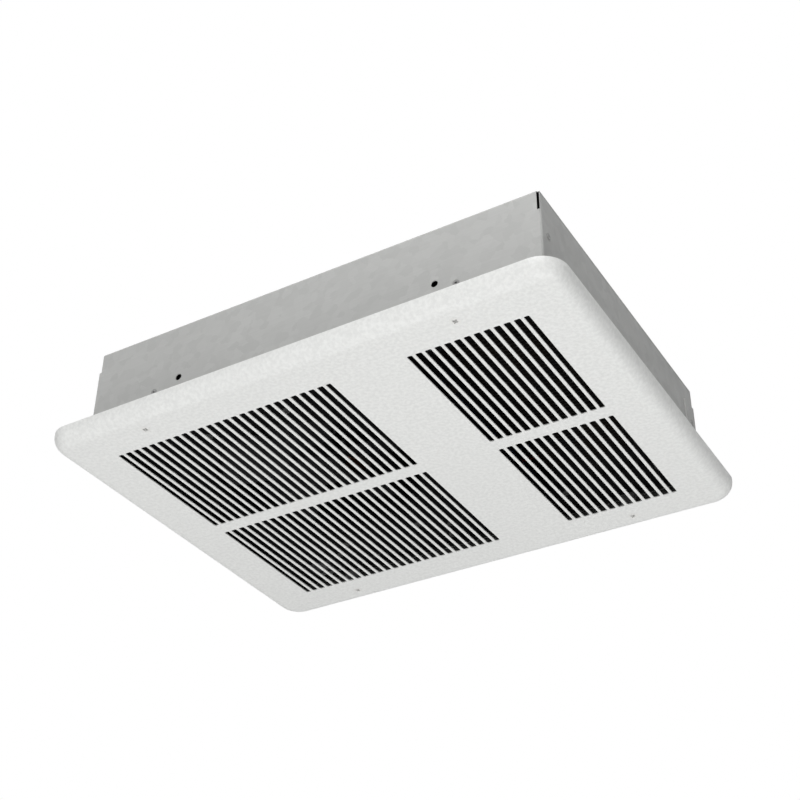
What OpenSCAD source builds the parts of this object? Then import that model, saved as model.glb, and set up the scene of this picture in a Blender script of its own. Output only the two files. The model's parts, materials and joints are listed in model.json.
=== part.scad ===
// Recessed ceiling fan heater: a pressed steel grille panel under a back box that sits
// between two joists, with the fan, motor, finned element, controls and wiring inside.
// The origin is the centre of the panel's room face. +X runs along the panel towards
// the warm air outlet, -Y is the near long side, and +Z points up into the ceiling.

/* [Front panel] */
// How far the panel reaches past the box at each end
panel_lap_l = 25.85; // [25:0.05:35]
// How far the panel reaches past the box along each side
panel_lap_w = 34.3; // [33:0.1:45]
// Thickness of the panel's sheet
panel_t = 1.0; // [0.8:0.1:1.5]
// Depth from the room face to the rim that meets the ceiling
panel_depth = 16.4; // [16:0.1:20]
// Radius of the rolled edge, seen in section
edge_r = 14.7; // [8:0.1:15.5]
// Radius of the panel's four corners, seen from below
corner_r = 25.3; // [20:0.1:32]

/* [Grille slots] */
// Distance from one slot to the next
slot_pitch = 9.525; // [9:0.005:9.8]
// Width of a slot
slot_w = 6.4; // [4:0.1:6.8]
// Width of the first and the last slot of each group
end_slot_w = 5.1; // [3:0.1:6]
// Length of a slot
slot_l = 155.5; // [120:0.5:160]
// Radius in the corners of a slot
slot_corner_r = 1.4; // [0.5:0.1:1.4]
// Width of the bar between the two rows of slots
cross_bar_w = 15.8; // [10:0.1:24]
// Number of slots in a row of the intake group
intake_slots = 26; // [20:1:27]
// Number of slots in a row of the outlet group
outlet_slots = 13; // [8:1:14]
// Distance from the box's inside to the first intake slot
intake_margin = 27.5; // [24:0.1:32]
// Distance from the box's inside to the last outlet slot
outlet_margin = 22.3; // [20:0.1:26]

/* [Back box] */
// Length of the box along X, over the corner laps
box_l = 489.6; // [486:0.1:496]
// Width of the box along Y
box_w = 355.3; // [352:0.1:362]
// Clear height between the motor and the box's top
motor_clear = 8.4; // [6:0.1:30]
// Thickness of the box's sheet
box_t = 1.2; // [1:0.1:1.6]
// Outside radius of the box's bends
bend_r = 2.4; // [2:0.1:4]
// Width of the laps that turn round the corners
lap_w = 25; // [16:0.5:30]
// Height of the corner laps
lap_h = 81.6; // [60:0.1:90]
// Side of the open notch in each corner above the lap
corner_gap = 2.3; // [1:0.1:5]
// Width of the flanges at the feet of the walls
foot_flange_w = 15; // [10:0.5:17]
// Height of the upper corner rivet above the ceiling
lap_rivet_h = 58.6; // [50:0.1:60]

/* [Fixing holes and knockouts] */
// Radius of the holes for the joist screws
joist_hole_r = 3.4; // [2.5:0.1:4]
// Distance between the two joist holes of a long wall
joist_hole_span = 280; // [240:1:300]
// Height of the joist holes above the ceiling
joist_hole_h = 40.5; // [35:0.1:50]
// Radius of a knockout for the supply cable
knockout_r = 11.1; // [10.5:0.1:11.6]
// Width of the groove round a closed knockout
knockout_groove = 0.8; // [0.5:0.1:1.2]
// Distance between the two knockouts in the top
knockout_span = 50; // [40:1:60]

/* [Grille fixing] */
// Distance along X between the grille screws
screw_span_x = 330; // [310:1:350]
// Distance of the grille screws outside the box's long walls
screw_out = 8.85; // [8:0.05:10]
// Radius of the grille screws' shank
screw_r = 2.1; // [1.8:0.05:2.4]
// Radius of the grille screws' head
screw_head_r = 5.2; // [4.5:0.1:6]
// Depth of the dimple that holds a screw head
dimple_depth = 2.2; // [1.8:0.1:3]
// Width of the brackets that take the grille screws
bracket_w = 18; // [14:0.5:24]
// Height of the bracket's ear above the room face
ear_z = 9.6; // [8:0.1:11]
// Height of the bracket's rivet above the ceiling
bracket_rivet_h = 32.8; // [28:0.1:40]
// Distance of the rivet from the bracket's middle
rivet_shift = 3.5; // [-4:0.1:4]
// Height of the bracket above the ceiling
bracket_h = 44; // [40:1:56]

/* [Fan deck] */
// Height of the deck above the ceiling
deck_rise = 4.6; // [4:0.1:7]
// Thickness of the deck and the other inner sheets
deck_t = 1.2; // [1:0.1:1.6]
// Gap round the edge of the deck
deck_gap = 0.5; // [0.3:0.1:1]
// Length along X of the outlet opening
outlet_l = 128; // [124:1:130]
// Room past each end of the outlet opening
element_end_room = 44.45; // [42:0.05:60]
// Width of the shelf of the rails that carry the deck
rail_w = 14; // [10:0.5:15]
// Height of the rails
rail_h = 20; // [14:1:26]

/* [Fan] */
// Gap between the motor mount's feet and the wiring bay
foot_gap = 3.05; // [1:0.05:8]
// Running gap from the blade tips to the throat
tip_gap = 2.5; // [2:0.1:3]
// Number of blades
blade_count = 5; // [3:1:7]
// Angle of the blades
blade_angle = 24; // [18:1:26]
// Thickness of a blade
blade_t = 1.8; // [1.2:0.1:2.4]
// Chord of a blade at its tip
tip_chord = 74; // [60:1:76]
// Chord of a blade at its root
root_chord = 40; // [30:1:42]
// Radius of the moulded hub
hub_r = 28; // [24:0.5:29]
// Height of the moulded hub
hub_h = 21; // [16:0.5:21.5]
// Height of the hub's room side above the deck
hub_rise = 11.8; // [11:0.1:12.5]
// Radius of the roll at the throat's mouth
mouth_r = 6; // [4:0.5:6.5]
// Height of the throat above the deck
throat_h = 24; // [18:0.5:28]

/* [Motor] */
// Radius of the motor shaft
shaft_r = 3.175; // [3:0.005:3.4]
// Running clearance of the shaft in its bearings
bearing_gap = 0.03; // [0.02:0.01:0.06]
// Height of the motor mount's straps above the deck
mount_h = 38.3; // [38:0.1:41]
// Thickness of the motor mount
mount_t = 1.5; // [1.2:0.1:2]
// Width of a strap of the motor mount
strap_w = 20; // [16:0.5:22]
// Height of the stack of laminations
stack_h = 24; // [20:0.5:27]
// Half of the stack's length along X
stack_half_l = 36; // [34:0.5:38]
// Radius of the rotor core
rotor_r = 17.6; // [16:0.1:18]
// Gap between the rotor core and the stack
air_gap = 0.5; // [0.3:0.1:0.8]
// Depth of the winding on each side of its limb
winding_t = 8.5; // [6:0.5:9]
// Radius of the long motor bolts
motor_bolt_r = 2; // [1.5:0.1:2.2]

/* [Heating element] */
// Radius of the element's tube
tube_r = 4; // [3:0.1:4.5]
// Distance between two passes of the tube
tube_pitch = 30; // [28:0.5:31]
// Number of fins
fin_count = 45; // [30:1:50]
// Thickness of a fin
fin_t = 0.5; // [0.4:0.1:0.8]
// Height of a fin
fin_h = 36; // [30:1:38]
// Height of the tube above the deck
tube_h = 40; // [36:0.5:46]
// Height of the plates that carry the tube
end_plate_h = 78; // [70:1:80]

/* [Wiring bay and controls] */
// Width of the wiring bay along the far wall
bay_w = 41.2; // [40:0.1:42]
// Radius of a power lead over its insulation
power_lead_r = 1.6; // [1.3:0.1:1.8]
// Radius of a control lead over its insulation
lead_r = 1.3; // [1:0.1:1.5]
// Distance between two poles of the terminal block
pole_pitch = 12; // [11:0.5:13]
// Tilt of the rocker either side of its middle
rocker_tilt = 9; // [6:1:10]
// Radius of the reset button
button_r = 3; // [2.5:0.1:3.5]
// Travel of the reset button
button_travel = 2; // [1.5:0.1:2.5]

/* [Hidden] */

$fn = 64;
white = "#e6e7e4";
galvanised = "#b4b5b3";
zinc = "#9da0a1";
black = "#2a2b2d";
steel = "#7f8285";
copper = "#a5653a";
brass = "#b89a55";

// Small named steps that several pieces share
slack = 0.1;
cut = 1;
small_head_r = 4;
small_head_h = 2.2;
small_shank_r = 1.7;
small_shank_l = 8;
lead_bend = 3;

// Levels, from the room face upwards
rim_z = panel_depth;
deck_z = rim_z + deck_rise;
deck_top = deck_z + deck_t;
mount_z = deck_top + mount_h;
mount_top = mount_z + mount_t;
stack_z = mount_top + 12;
stack_top = stack_z + stack_h;
tube_z = deck_top + tube_h;
bracket_leg_h = 6;
bracket_plate_t = 2;
bearing_boss_h = 4.5;
motor_top_z = stack_top + bracket_leg_h + bracket_plate_t + bearing_boss_h;
ceiling_z = motor_top_z + motor_clear;
box_top_z = ceiling_z + box_t;
box_depth = box_top_z - rim_z;

// Faces of the box. The laps lie outside the end walls.
end_x = box_l / 2 - box_t;
inner_x = end_x - box_t;
side_y = box_w / 2;
inner_y = side_y - box_t;
panel_l = box_l + 2 * panel_lap_l;
panel_w = box_w + 2 * panel_lap_w;

// Brackets, rivets and screws that hold the panel
bracket_t = 1.2;
leg_y = inner_y - bracket_t;
screw_x = screw_span_x / 2;
screw_y = side_y + screw_out;
ear_reach = screw_y + 9;
rivet_r = 1.6;
nut_plate_t = 0.8;
nut_plate_l = 13;
screw_tip_z = rim_z - box_t - 0.8;
head_slope_r = screw_r + 1;

// Deck and the openings in it
deck_half_l = inner_x - deck_gap;
deck_half_w = leg_y - deck_gap;
intake_first_x = -inner_x + intake_margin;
intake_last_x = intake_first_x + (intake_slots - 1) * slot_pitch;
outlet_first_x = inner_x - outlet_margin - (outlet_slots - 1) * slot_pitch;
fan_x = (intake_first_x + intake_last_x) / 2;
outlet_gap = 1.45;
outlet_x = inner_x - rail_w - outlet_gap - outlet_l / 2;
outlet_w = 2 * (inner_y - element_end_room);
rail_l = 300;
divider_gap = 20;
divider_x = intake_last_x + divider_gap;
divider_flange = 11;
seal_w = 5;

// Throat and fan wheel, as wide as the motor mount's feet leave room for
shroud_t = 1;
shroud_flange = 6;
foot_l = 16;
partition_y = inner_y - bracket_t - bay_w;
leg_reach_y = partition_y - foot_gap - foot_l;
roll_r = leg_reach_y - shroud_flange;
throat_r = roll_r - mouth_r - shroud_t;
fan_r = throat_r - tip_gap;
hub_z = deck_top + hub_rise;
hub_wall = 2.2;
boss_r = 8;
boss_h = hub_h - 2;
insert_r = 5.5;
camber_r = 110;
blade_mid_z = hub_z + hub_h * 0.6;
blade_round_r = 50;
tip_overhang = 4;
rib_t = 1.6;
set_screw_r = 1.5;
set_screw_z = hub_z + boss_h - 4;

// Motor
strap_x = 45;
centre_plate_w = 28;
centre_hole_r = 12;
bolt_x = 28;
grommet_r = 4.5;
grommet_lip = 1.2;
grommet_lip_r = 6;
spacer_r = 4;
bearing_boss_r = 8;
bearing_r = 5;
bearing_l = bearing_boss_h + bracket_plate_t;
bracket_half_l = bolt_x + 6;
bracket_half_w = 10;
end_ring_r = 14;
end_ring_h = 3;
stack_near_y = -24;
stack_bridge_y = 24;
limb_y = 43;
limb_w = 14;
stack_far_y = limb_y + limb_w;
window_half_l = 23;
ring_bar_r = 1.1;
ring_x = 17;
ring_inner_y = 11;
ring_outer_y = 20.5;
bobbin_t = 1;
bobbin_half_l = 21;
flange_t = 1.2;
shaft_z = hub_z + hub_wall + 0.6;
shaft_top_z = motor_top_z - 0.4;

// Element
pass_count = 4;
plate_y = outlet_w / 2 + 4;
tube_straight = plate_y + 5;
fin_l = outlet_l - 8;
fin_span = 2 * plate_y - 16;
plate_l = outlet_l;
plate_foot = 10;
stud_r = 1.6;
stud_base_y = tube_straight + 10;
insulator_l = 3.5;
nut_y = stud_base_y + insulator_l + 3.6;
nut_h = 2.2;
stud_end_y = stud_base_y + 14;
deflector_r = 61;
deflector_tail = 12;
deflector_gap = 3.7;

// Wiring bay
partition_far_y = leg_y - 0.3;
bay_left_x = -inner_x + rail_w + 1;
bay_right_x = divider_x - 5;
partition_top = ceiling_z - 0.5;
partition_foot = 7;
cover_near_y = partition_y + 12;
cover_far_y = deck_half_w - 4.7;
cover_lap = 3.5;
cover_tab = 8;
bay_foot_in = 50;
bay_foot_back = 30;
foot_screw_in = 70;
foot_screw_back = 58;
ground_in = 40;
switch_in = 40;
bush_r = 7.6;
bush_wall = 1;
motor_bush_r = 4.6;
bush_lip_w = 1.2;
bush_lip_t = 1.4;
pole_count = 6;
first_pole_x = fan_x - 8;
block_rise = 30;
block_z = deck_top + block_rise;
block_h = 24;
block_y = partition_y + deck_t;
block_depth = 16.5;
lead_y = block_y + 14;
block_margin = 7;
cover_left_x = first_pole_x - block_margin - 5;
cover_right_x = first_pole_x + (pole_count - 1) * pole_pitch + block_margin + 1;
barrier_t = 1.6;
barrier_h = 3;

// Leads that run to the element: place along Y and height
lead_turn = 20;
lead_one_y = stud_base_y + 5.5;
lead_two_y = stud_base_y + 11.5;
lead_one_z = tube_z + 21;
lead_two_z = lead_one_z + 6;
motor_lead_z = stack_z + stack_h / 2;
limit_lead_z = block_z - 4;
limit_two_z = limit_lead_z - 4;
limit_two_y = lead_y + 7;
delay_one_z = lead_one_z + 18.2;
delay_two_z = delay_one_z + 6;
delay_one_y = lead_one_y + 2;
delay_two_y = lead_two_y + 3.5;

// Disconnect switch in the bay's floor
switch_x = bay_left_x + switch_in;
switch_y = partition_y + 21;
bezel_l = 36;
bezel_w = 27;
bezel_t = 2;
barrel_l = 31;
barrel_w = 22;
barrel_h = 29;
well_l = 28;
well_w = 18;
well_h = 13;
rocker_half_l = 12;
rocker_w = 17.2;
rocker_pivot_z = deck_z + 7;
rocker_pin_r = 1.5;
rocker_pin_l = 1.6;
rocker_gap = 0.05;
tab_l = 6.3;
tab_t = 0.8;
tab_h = 7;
tab_dx = 7;
tab_dy = 6;

// Manual reset limit beside the outlet opening
limit_x = outlet_x - outlet_l / 2 - 14;
limit_y = -60;
limit_r = 10;
limit_h = 10;
limit_ear_l = 16;
limit_flange_t = 1;
limit_tab_dx = 5;
button_gap = 0.06;
button_collar = 1.3;
button_low_z = deck_z - 3.2;
collar_z = deck_top + limit_flange_t + 0.4;
collar_h = 1.5;

// Fan delay switch on the far end plate
delay_x = outlet_x - 3;
delay_z = tube_z + 22;
delay_r = 9;
delay_t = 7;
delay_ear = 14;
delay_ear_w = 4;
delay_tab_dx = 5;

// ---------- helpers ----------

// A block between two corners
module block(low, high) {
    translate(low)
        cube(high - low);
}

// Copies its children to the four quarters round the origin, mirrored
module four_ways(x, y) {
    for (sx = [1, 0])
        for (sy = [1, 0])
            mirror([sx, 0, 0])
                mirror([0, sy, 0])
                    translate([x, y])
                        children();
}

// A screw with its head under z = 0 and its shank above, with a cross recess
module pan_screw(head_r, head_h, shank_r, shank_l) {
    recess_w = head_r * 0.3;
    difference() {
        union() {
            translate([0, 0, -head_h * 0.55])
                cylinder(h = head_h * 0.55, r = head_r);
            translate([0, 0, -head_h])
                cylinder(h = head_h * 0.45, r1 = head_r * 0.72, r2 = head_r);
            cylinder(h = shank_l, r = shank_r);
        }
        for (turn = [0, 90])
            rotate([0, 0, turn])
                block([-head_r * 0.55, -recess_w / 2, -head_h - cut],
                    [head_r * 0.55, recess_w / 2, -head_h * 0.45]);
    }
}

// A small chassis screw with its head under the sheet at z = 0
module chassis_screw() {
    pan_screw(small_head_r, small_head_h, small_shank_r, small_shank_l);
}

// A tube along Z
module tube(height, outer, inner) {
    difference() {
        cylinder(h = height, r = outer);
        translate([0, 0, -cut])
            cylinder(h = height + 2 * cut, r = inner);
    }
}

// One straight run of a lead, along an axis of the frame
module run(from, to, r) {
    way = (to - from) / norm(to - from);
    side = [way.y, way.z, way.x];
    up = cross(way, side);
    multmatrix([[side.x, up.x, way.x, from.x],
                [side.y, up.y, way.y, from.y],
                [side.z, up.z, way.z, from.z]])
        cylinder(h = norm(to - from), r = r);
}

// A quarter bend of a lead where it turns from one way to the next
module elbow(corner, way_in, way_out, r) {
    centre = corner - way_in * lead_bend + way_out * lead_bend;
    axis = cross(way_in, way_out);
    multmatrix([[-way_out.x, way_in.x, axis.x, centre.x],
                [-way_out.y, way_in.y, axis.y, centre.y],
                [-way_out.z, way_in.z, axis.z, centre.z]])
        rotate_extrude(angle = 90)
            translate([lead_bend, 0])
                circle(r = r);
}

// A lead through a list of corners, set to hundredths, with a quarter bend at each
module lead(corners, r) {
    route = [for (p = corners) [for (c = p) round(c * 100) / 100]];
    last = len(route) - 1;
    ways = [for (i = [0:last - 1]) (route[i + 1] - route[i]) / norm(route[i + 1] - route[i])];
    union() {
        for (i = [0:last - 1])
            run(route[i] + (i > 0 ? ways[i] * lead_bend : [0, 0, 0]),
                route[i + 1] - (i < last - 1 ? ways[i] * lead_bend : [0, 0, 0]), r);
        for (i = [1:last - 1])
            elbow(route[i], ways[i - 1], ways[i], r);
    }
}

// ---------- front panel and what holds it ----------

// Section of the panel's edge, from the corner's centre out to the rim
module edge_section(reach, roll, height) {
    difference() {
        square([reach, height]);
        translate([reach - roll, -cut])
            difference() {
                square([roll + cut, roll + cut]);
                translate([0, roll + cut])
                    circle(r = roll);
            }
    }
}

// A solid tray with a rolled edge and round corners
module rolled_tray(length, width, reach, roll, height) {
    half_l = length / 2 - reach;
    half_w = width / 2 - reach;
    block([-half_l, -half_w, 0], [half_l, half_w, height]);
    for (turn = [0:3]) {
        sx = (turn == 0 || turn == 3) ? 1 : -1;
        sy = turn < 2 ? 1 : -1;
        translate([sx * half_l, sy * half_w, 0])
            rotate([0, 0, 90 * turn])
                rotate_extrude(angle = 90)
                    edge_section(reach, roll, height);
    }
    for (side = [0, 180]) {
        rotate([0, 0, side])
            translate([0, half_w, 0])
                rotate([90, 0, 90])
                    linear_extrude(2 * half_l, center = true)
                        edge_section(reach, roll, height);
        rotate([0, 0, side])
            translate([half_l, 0, 0])
                rotate([90, 0, 0])
                    linear_extrude(2 * half_w, center = true)
                        edge_section(reach, roll, height);
    }
}

// One slot with rounded corners
module slot_shape(width) {
    dx = width / 2 - slot_corner_r;
    dy = slot_l / 2 - slot_corner_r;
    square([2 * dx, slot_l], center = true);
    square([width, 2 * dy], center = true);
    four_ways(dx, dy)
        circle(r = slot_corner_r, $fn = 24);
}

// Both rows of a group of slots, the outer slots narrower
module slot_group(first_x, count) {
    trim = (slot_w - end_slot_w) / 2;
    for (row = [-1, 1])
        for (i = [0:count - 1]) {
            shift = i == 0 ? trim : (i == count - 1 ? -trim : 0);
            translate([first_x + i * slot_pitch + shift, row * (cross_bar_w + slot_l) / 2])
                slot_shape(i == 0 || i == count - 1 ? end_slot_w : slot_w);
        }
}

// The cup that a screw head sits in
module dimple(grow, height) {
    cylinder(h = height, r1 = screw_head_r + slack + grow, r2 = head_slope_r + slack + grow);
}

module front_panel() {
    color(white)
        difference() {
            union() {
                difference() {
                    rolled_tray(panel_l, panel_w, corner_r, edge_r, panel_depth);
                    translate([0, 0, panel_t])
                        rolled_tray(panel_l - 2 * panel_t, panel_w - 2 * panel_t,
                            corner_r - panel_t, edge_r - panel_t, panel_depth);
                    translate([0, 0, -cut])
                        linear_extrude(panel_t + 2 * cut) {
                            slot_group(intake_first_x, intake_slots);
                            slot_group(outlet_first_x, outlet_slots);
                        }
                }
                four_ways(screw_x, screw_y)
                    dimple(panel_t, dimple_depth + panel_t);
            }
            four_ways(screw_x, screw_y) {
                dimple(0, dimple_depth);
                translate([0, 0, -cut])
                    cylinder(h = dimple_depth + panel_t + 2 * cut, r = screw_r + 4 * slack);
            }
        }
}

module grille_screws() {
    recess_w = screw_head_r * 0.26;
    recess_l = screw_head_r * 1.1;
    color(white)
        four_ways(screw_x, screw_y)
            difference() {
                union() {
                    cylinder(h = dimple_depth, r1 = screw_head_r, r2 = head_slope_r);
                    cylinder(h = screw_tip_z, r = screw_r);
                }
                for (turn = [45, 135])
                    rotate([0, 0, turn])
                        block([-recess_l / 2, -recess_w / 2, -cut],
                            [recess_l / 2, recess_w / 2, dimple_depth * 0.6]);
            }
}

// Spring clips over the bracket ears, which the grille screws bite into
module clip_nuts() {
    half_w = bracket_w / 2 - 3;
    near = -nut_plate_l / 2;
    far = ear_reach - screw_y;
    low = ear_z - nut_plate_t;
    high = ear_z + bracket_t;
    color(zinc)
        four_ways(screw_x, screw_y)
            difference() {
                union() {
                    block([-half_w, near, low], [half_w, far, ear_z]);
                    block([-half_w, near, high], [half_w, far, high + nut_plate_t]);
                    block([-half_w, far, low], [half_w, far + nut_plate_t, high + nut_plate_t]);
                }
                translate([0, 0, low - cut])
                    cylinder(h = high - low + nut_plate_t + 2 * cut, r = screw_r + slack / 2);
            }
}

module grille_brackets() {
    half_w = bracket_w / 2;
    color(zinc)
        difference() {
            four_ways(screw_x, 0) {
                block([-half_w, leg_y, ear_z], [half_w, inner_y, rim_z + bracket_h]);
                block([-half_w, leg_y, ear_z], [half_w, ear_reach, ear_z + bracket_t]);
            }
            four_ways(screw_x, screw_y)
                translate([0, 0, ear_z - cut])
                    cylinder(h = bracket_t + 2 * cut, r = screw_r + 3 * slack);
            rivet_places()
                cylinder(h = 6 * box_t, r = rivet_r + slack / 2, center = true);
        }
}

// The brackets' rivets, with Z into the box
module rivet_places() {
    for (turn = [0, 180])
        for (s = [-1, 1])
            rotate([0, 0, turn])
                translate([s * screw_x + rivet_shift, side_y, rim_z + bracket_rivet_h])
                    rotate([90, 0, 0])
                        children();
}

// A pop rivet along Z through a grip: flange below z = 0, set end above
module pop_rivet(grip) {
    difference() {
        union() {
            translate([0, 0, -0.7])
                cylinder(h = 0.7, r = 2 * rivet_r);
            cylinder(h = grip, r = rivet_r);
            translate([0, 0, grip])
                cylinder(h = 1.6, r = 1.4 * rivet_r);
        }
        translate([0, 0, -cut])
            cylinder(h = grip + cut, r = 0.7 * rivet_r);
    }
}

module bracket_rivets() {
    color(zinc)
        rivet_places()
            pop_rivet(box_t + bracket_t);
}

// ---------- back box ----------

// A bent sheet in section: a top with two walls, round at both bends
module hat_section(half, height, t) {
    inner_bend = max(bend_r - t, 0.3);
    difference() {
        union() {
            translate([-half, bend_r - t])
                square([2 * half, height - 2 * bend_r + t]);
            translate([-half + bend_r, height - bend_r])
                square([2 * (half - bend_r), bend_r]);
            for (s = [-1, 1])
                translate([s * (half - bend_r), height - bend_r])
                    circle(r = bend_r, $fn = 32);
        }
        translate([-half + t, -cut])
            square([2 * (half - t), height - t - inner_bend + cut]);
        translate([-half + t + inner_bend, height - t - inner_bend - cut])
            square([2 * (half - t - inner_bend), inner_bend + cut]);
        for (s = [-1, 1])
            translate([s * (half - t - inner_bend), height - t - inner_bend])
                circle(r = inner_bend, $fn = 32);
    }
}

// The lap of one corner, seen from above, with its bend
module corner_lap_shape() {
    translate([end_x, side_y - lap_w])
        square([box_t, lap_w - bend_r]);
    translate([end_x - bend_r, side_y - box_t])
        square([bend_r + box_t - bend_r, box_t]);
    translate([end_x + box_t - bend_r, side_y - bend_r])
        intersection() {
            difference() {
                circle(r = bend_r, $fn = 32);
                circle(r = bend_r - box_t, $fn = 32);
            }
            square([bend_r, bend_r]);
        }
}

// A closed knockout: a groove round a disc that is pressed out
module knockout_groove_cut() {
    difference() {
        cylinder(h = box_t, r = knockout_r + knockout_groove / 2);
        translate([0, 0, -cut])
            cylinder(h = box_t + 2 * cut, r = knockout_r - knockout_groove / 2);
    }
}

module back_box() {
    knockout_x = switch_x - 10;
    knockout_y = partition_y + bay_w / 2;
    groove_depth = box_t * 0.6;
    color(galvanised)
        difference() {
            union() {
                translate([0, 0, rim_z]) {
                    rotate([90, 0, 0])
                        linear_extrude(2 * inner_y, center = true)
                            hat_section(end_x, box_depth, box_t);
                    rotate([90, 0, 90])
                        linear_extrude(2 * end_x, center = true)
                            hat_section(side_y, box_depth, box_t);
                }
                translate([0, 0, rim_z + bend_r - box_t])
                    four_ways(0, 0)
                        linear_extrude(lap_h - bend_r + box_t)
                            corner_lap_shape();
            }
            four_ways(end_x, side_y)
                block([-corner_gap, -corner_gap, rim_z + lap_h], [cut, cut, box_top_z + cut]);
            four_ways(joist_hole_span / 2, side_y)
                translate([0, 0, rim_z + joist_hole_h])
                    rotate([90, 0, 0])
                        cylinder(h = 6 * box_t, r = joist_hole_r, center = true);
            rivet_places()
                cylinder(h = 6 * box_t, r = rivet_r + slack / 2, center = true);
            four_ways(end_x, side_y - lap_w / 2)
                for (z = [lap_rivet_h, lap_rivet_h / 3])
                    translate([0, 0, rim_z + z])
                        rotate([0, 90, 0])
                            cylinder(h = 6 * box_t, r = rivet_r + slack / 2, center = true);
            translate([knockout_x, knockout_y, ceiling_z - cut])
                cylinder(h = box_t + 2 * cut, r = knockout_r);
            translate([knockout_x + knockout_span, knockout_y, box_top_z - groove_depth])
                knockout_groove_cut();
            translate([-end_x + groove_depth, knockout_y, rim_z + 2 * box_depth / 3])
                rotate([0, -90, 0])
                    knockout_groove_cut();
        }
}

// The bent foot of the wall whose outer face lies at Y = face
module foot_flange(face, half_l) {
    translate([0, face - box_t, rim_z - box_t])
        rotate([90, 0, 90])
            linear_extrude(2 * half_l, center = true) {
                translate([bend_r, 0])
                    square([foot_flange_w + box_t - bend_r, box_t]);
                intersection() {
                    square([bend_r, bend_r]);
                    translate([bend_r, bend_r])
                        difference() {
                            circle(r = bend_r, $fn = 32);
                            circle(r = bend_r - box_t, $fn = 32);
                        }
                }
            }
}

// The outward feet of the four walls, which meet the ceiling
module ceiling_flanges() {
    color(galvanised)
        for (turn = [0, 180])
            rotate([0, 0, turn]) {
                foot_flange(side_y, end_x - bend_r - 1);
                rotate([0, 0, -90])
                    foot_flange(end_x, side_y - lap_w - 1);
            }
}

module corner_rivets() {
    color(zinc)
        four_ways(end_x + box_t, side_y - lap_w / 2)
            for (z = [lap_rivet_h, lap_rivet_h / 3])
                translate([0, 0, rim_z + z])
                    rotate([0, -90, 0])
                        pop_rivet(2 * box_t);
}

// ---------- deck, rails and divider ----------

// Angles on the end walls that carry the deck
module deck_rails() {
    color(galvanised)
        for (side = [0, 180])
            rotate([0, 0, side])
                difference() {
                    union() {
                        block([inner_x - deck_t, -rail_l / 2, deck_top],
                            [inner_x, rail_l / 2, deck_top + rail_h]);
                        block([inner_x - rail_w, -rail_l / 2, deck_top],
                            [inner_x, rail_l / 2, deck_top + deck_t]);
                    }
                    for (s = [-1, 1])
                        translate([inner_x - rail_w / 2 - 1, s * rail_l * 0.4, deck_top - cut])
                            cylinder(h = deck_t + 2 * cut, r = small_shank_r + slack / 2);
                }
}

// Screws that hold the deck to its rails
module at_deck_screws() {
    translate([0, 0, deck_z])
        four_ways(inner_x - rail_w / 2 - 1, rail_l * 0.4)
            children();
}

// Screws under the deck for what stands on it
module at_chassis_screws() {
    translate([fan_x, 0, deck_z])
        four_ways(strap_x, leg_reach_y + foot_l / 2)
            children();
    translate([outlet_x, 0, deck_z])
        four_ways(plate_l / 2 - 14, plate_y + deck_t + plate_foot / 2)
            children();
    for (x = [bay_left_x + foot_screw_in, bay_right_x - foot_screw_back])
        translate([x, partition_y + deck_t + partition_foot / 2, deck_z])
            children();
}

module fan_deck() {
    color(black)
        difference() {
            block([-deck_half_l, -deck_half_w, deck_z], [deck_half_l, deck_half_w, deck_top]);
            translate([fan_x, 0, deck_z - cut])
                cylinder(h = deck_t + 2 * cut, r = roll_r);
            block([outlet_x - outlet_l / 2, -outlet_w / 2, deck_z - cut],
                [outlet_x + outlet_l / 2, outlet_w / 2, deck_top + cut]);
            block([cover_left_x, cover_near_y, deck_z - cut],
                [cover_right_x, cover_far_y - cover_lap, deck_top + cut]);
            block([switch_x - barrel_l / 2 - slack, switch_y - barrel_w / 2 - slack, deck_z - cut],
                [switch_x + barrel_l / 2 + slack, switch_y + barrel_w / 2 + slack, deck_top + cut]);
            translate([limit_x, limit_y, deck_z - cut])
                cylinder(h = deck_t + 2 * cut, r = button_r + 0.6);
            translate([0, 0, -cut]) {
                at_deck_screws()
                    cylinder(h = deck_t + 2 * cut, r = small_shank_r + slack / 2);
                at_chassis_screws()
                    cylinder(h = deck_t + 2 * cut, r = small_shank_r + slack / 2);
                at_hanging_screws()
                    cylinder(h = deck_t + 2 * cut, r = small_shank_r + slack / 2);
            }
        }
}

// Screws of the sheets hung under the deck
module at_hanging_screws() {
    for (s = [-1, 0, 1])
        translate([divider_x - divider_flange / 2, s * deck_half_w * 0.75, deck_z])
            children();
    for (x = [cover_left_x - cover_lap - cover_tab / 2, cover_right_x + cover_lap + cover_tab / 2])
        translate([x, (cover_near_y + cover_far_y) / 2, deck_z])
            children();
}

module deck_screws() {
    color(zinc)
        at_deck_screws()
            chassis_screw();
}

module chassis_screws() {
    color(zinc) {
        at_chassis_screws()
            chassis_screw();
        translate([0, 0, -deck_t])
            at_hanging_screws()
                chassis_screw();
    }
}

// Keeps the room air of the intake apart from the warm air of the outlet
module chamber_divider() {
    foot_z = panel_t + 2;
    color(black)
        difference() {
            union() {
                block([divider_x - deck_t, -deck_half_w, foot_z],
                    [divider_x, deck_half_w, deck_z]);
                block([divider_x - divider_flange, -deck_half_w, deck_z - deck_t],
                    [divider_x, deck_half_w, deck_z]);
            }
            translate([limit_x, limit_y, deck_z - deck_t - cut])
                cylinder(h = deck_t + 2 * cut, r = button_r + 0.6);
            translate([0, 0, -deck_t - cut])
                at_hanging_screws()
                    cylinder(h = deck_t + 2 * cut, r = small_shank_r + slack / 2);
        }
}

// Foam strip on the divider's lower edge, resting on the panel
module divider_seal() {
    color("#3a3a3a")
        block([divider_x, -deck_half_w, panel_t + 0.3],
            [divider_x + seal_w, deck_half_w, panel_t + 9]);
}

// ---------- throat, fan and motor ----------

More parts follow.
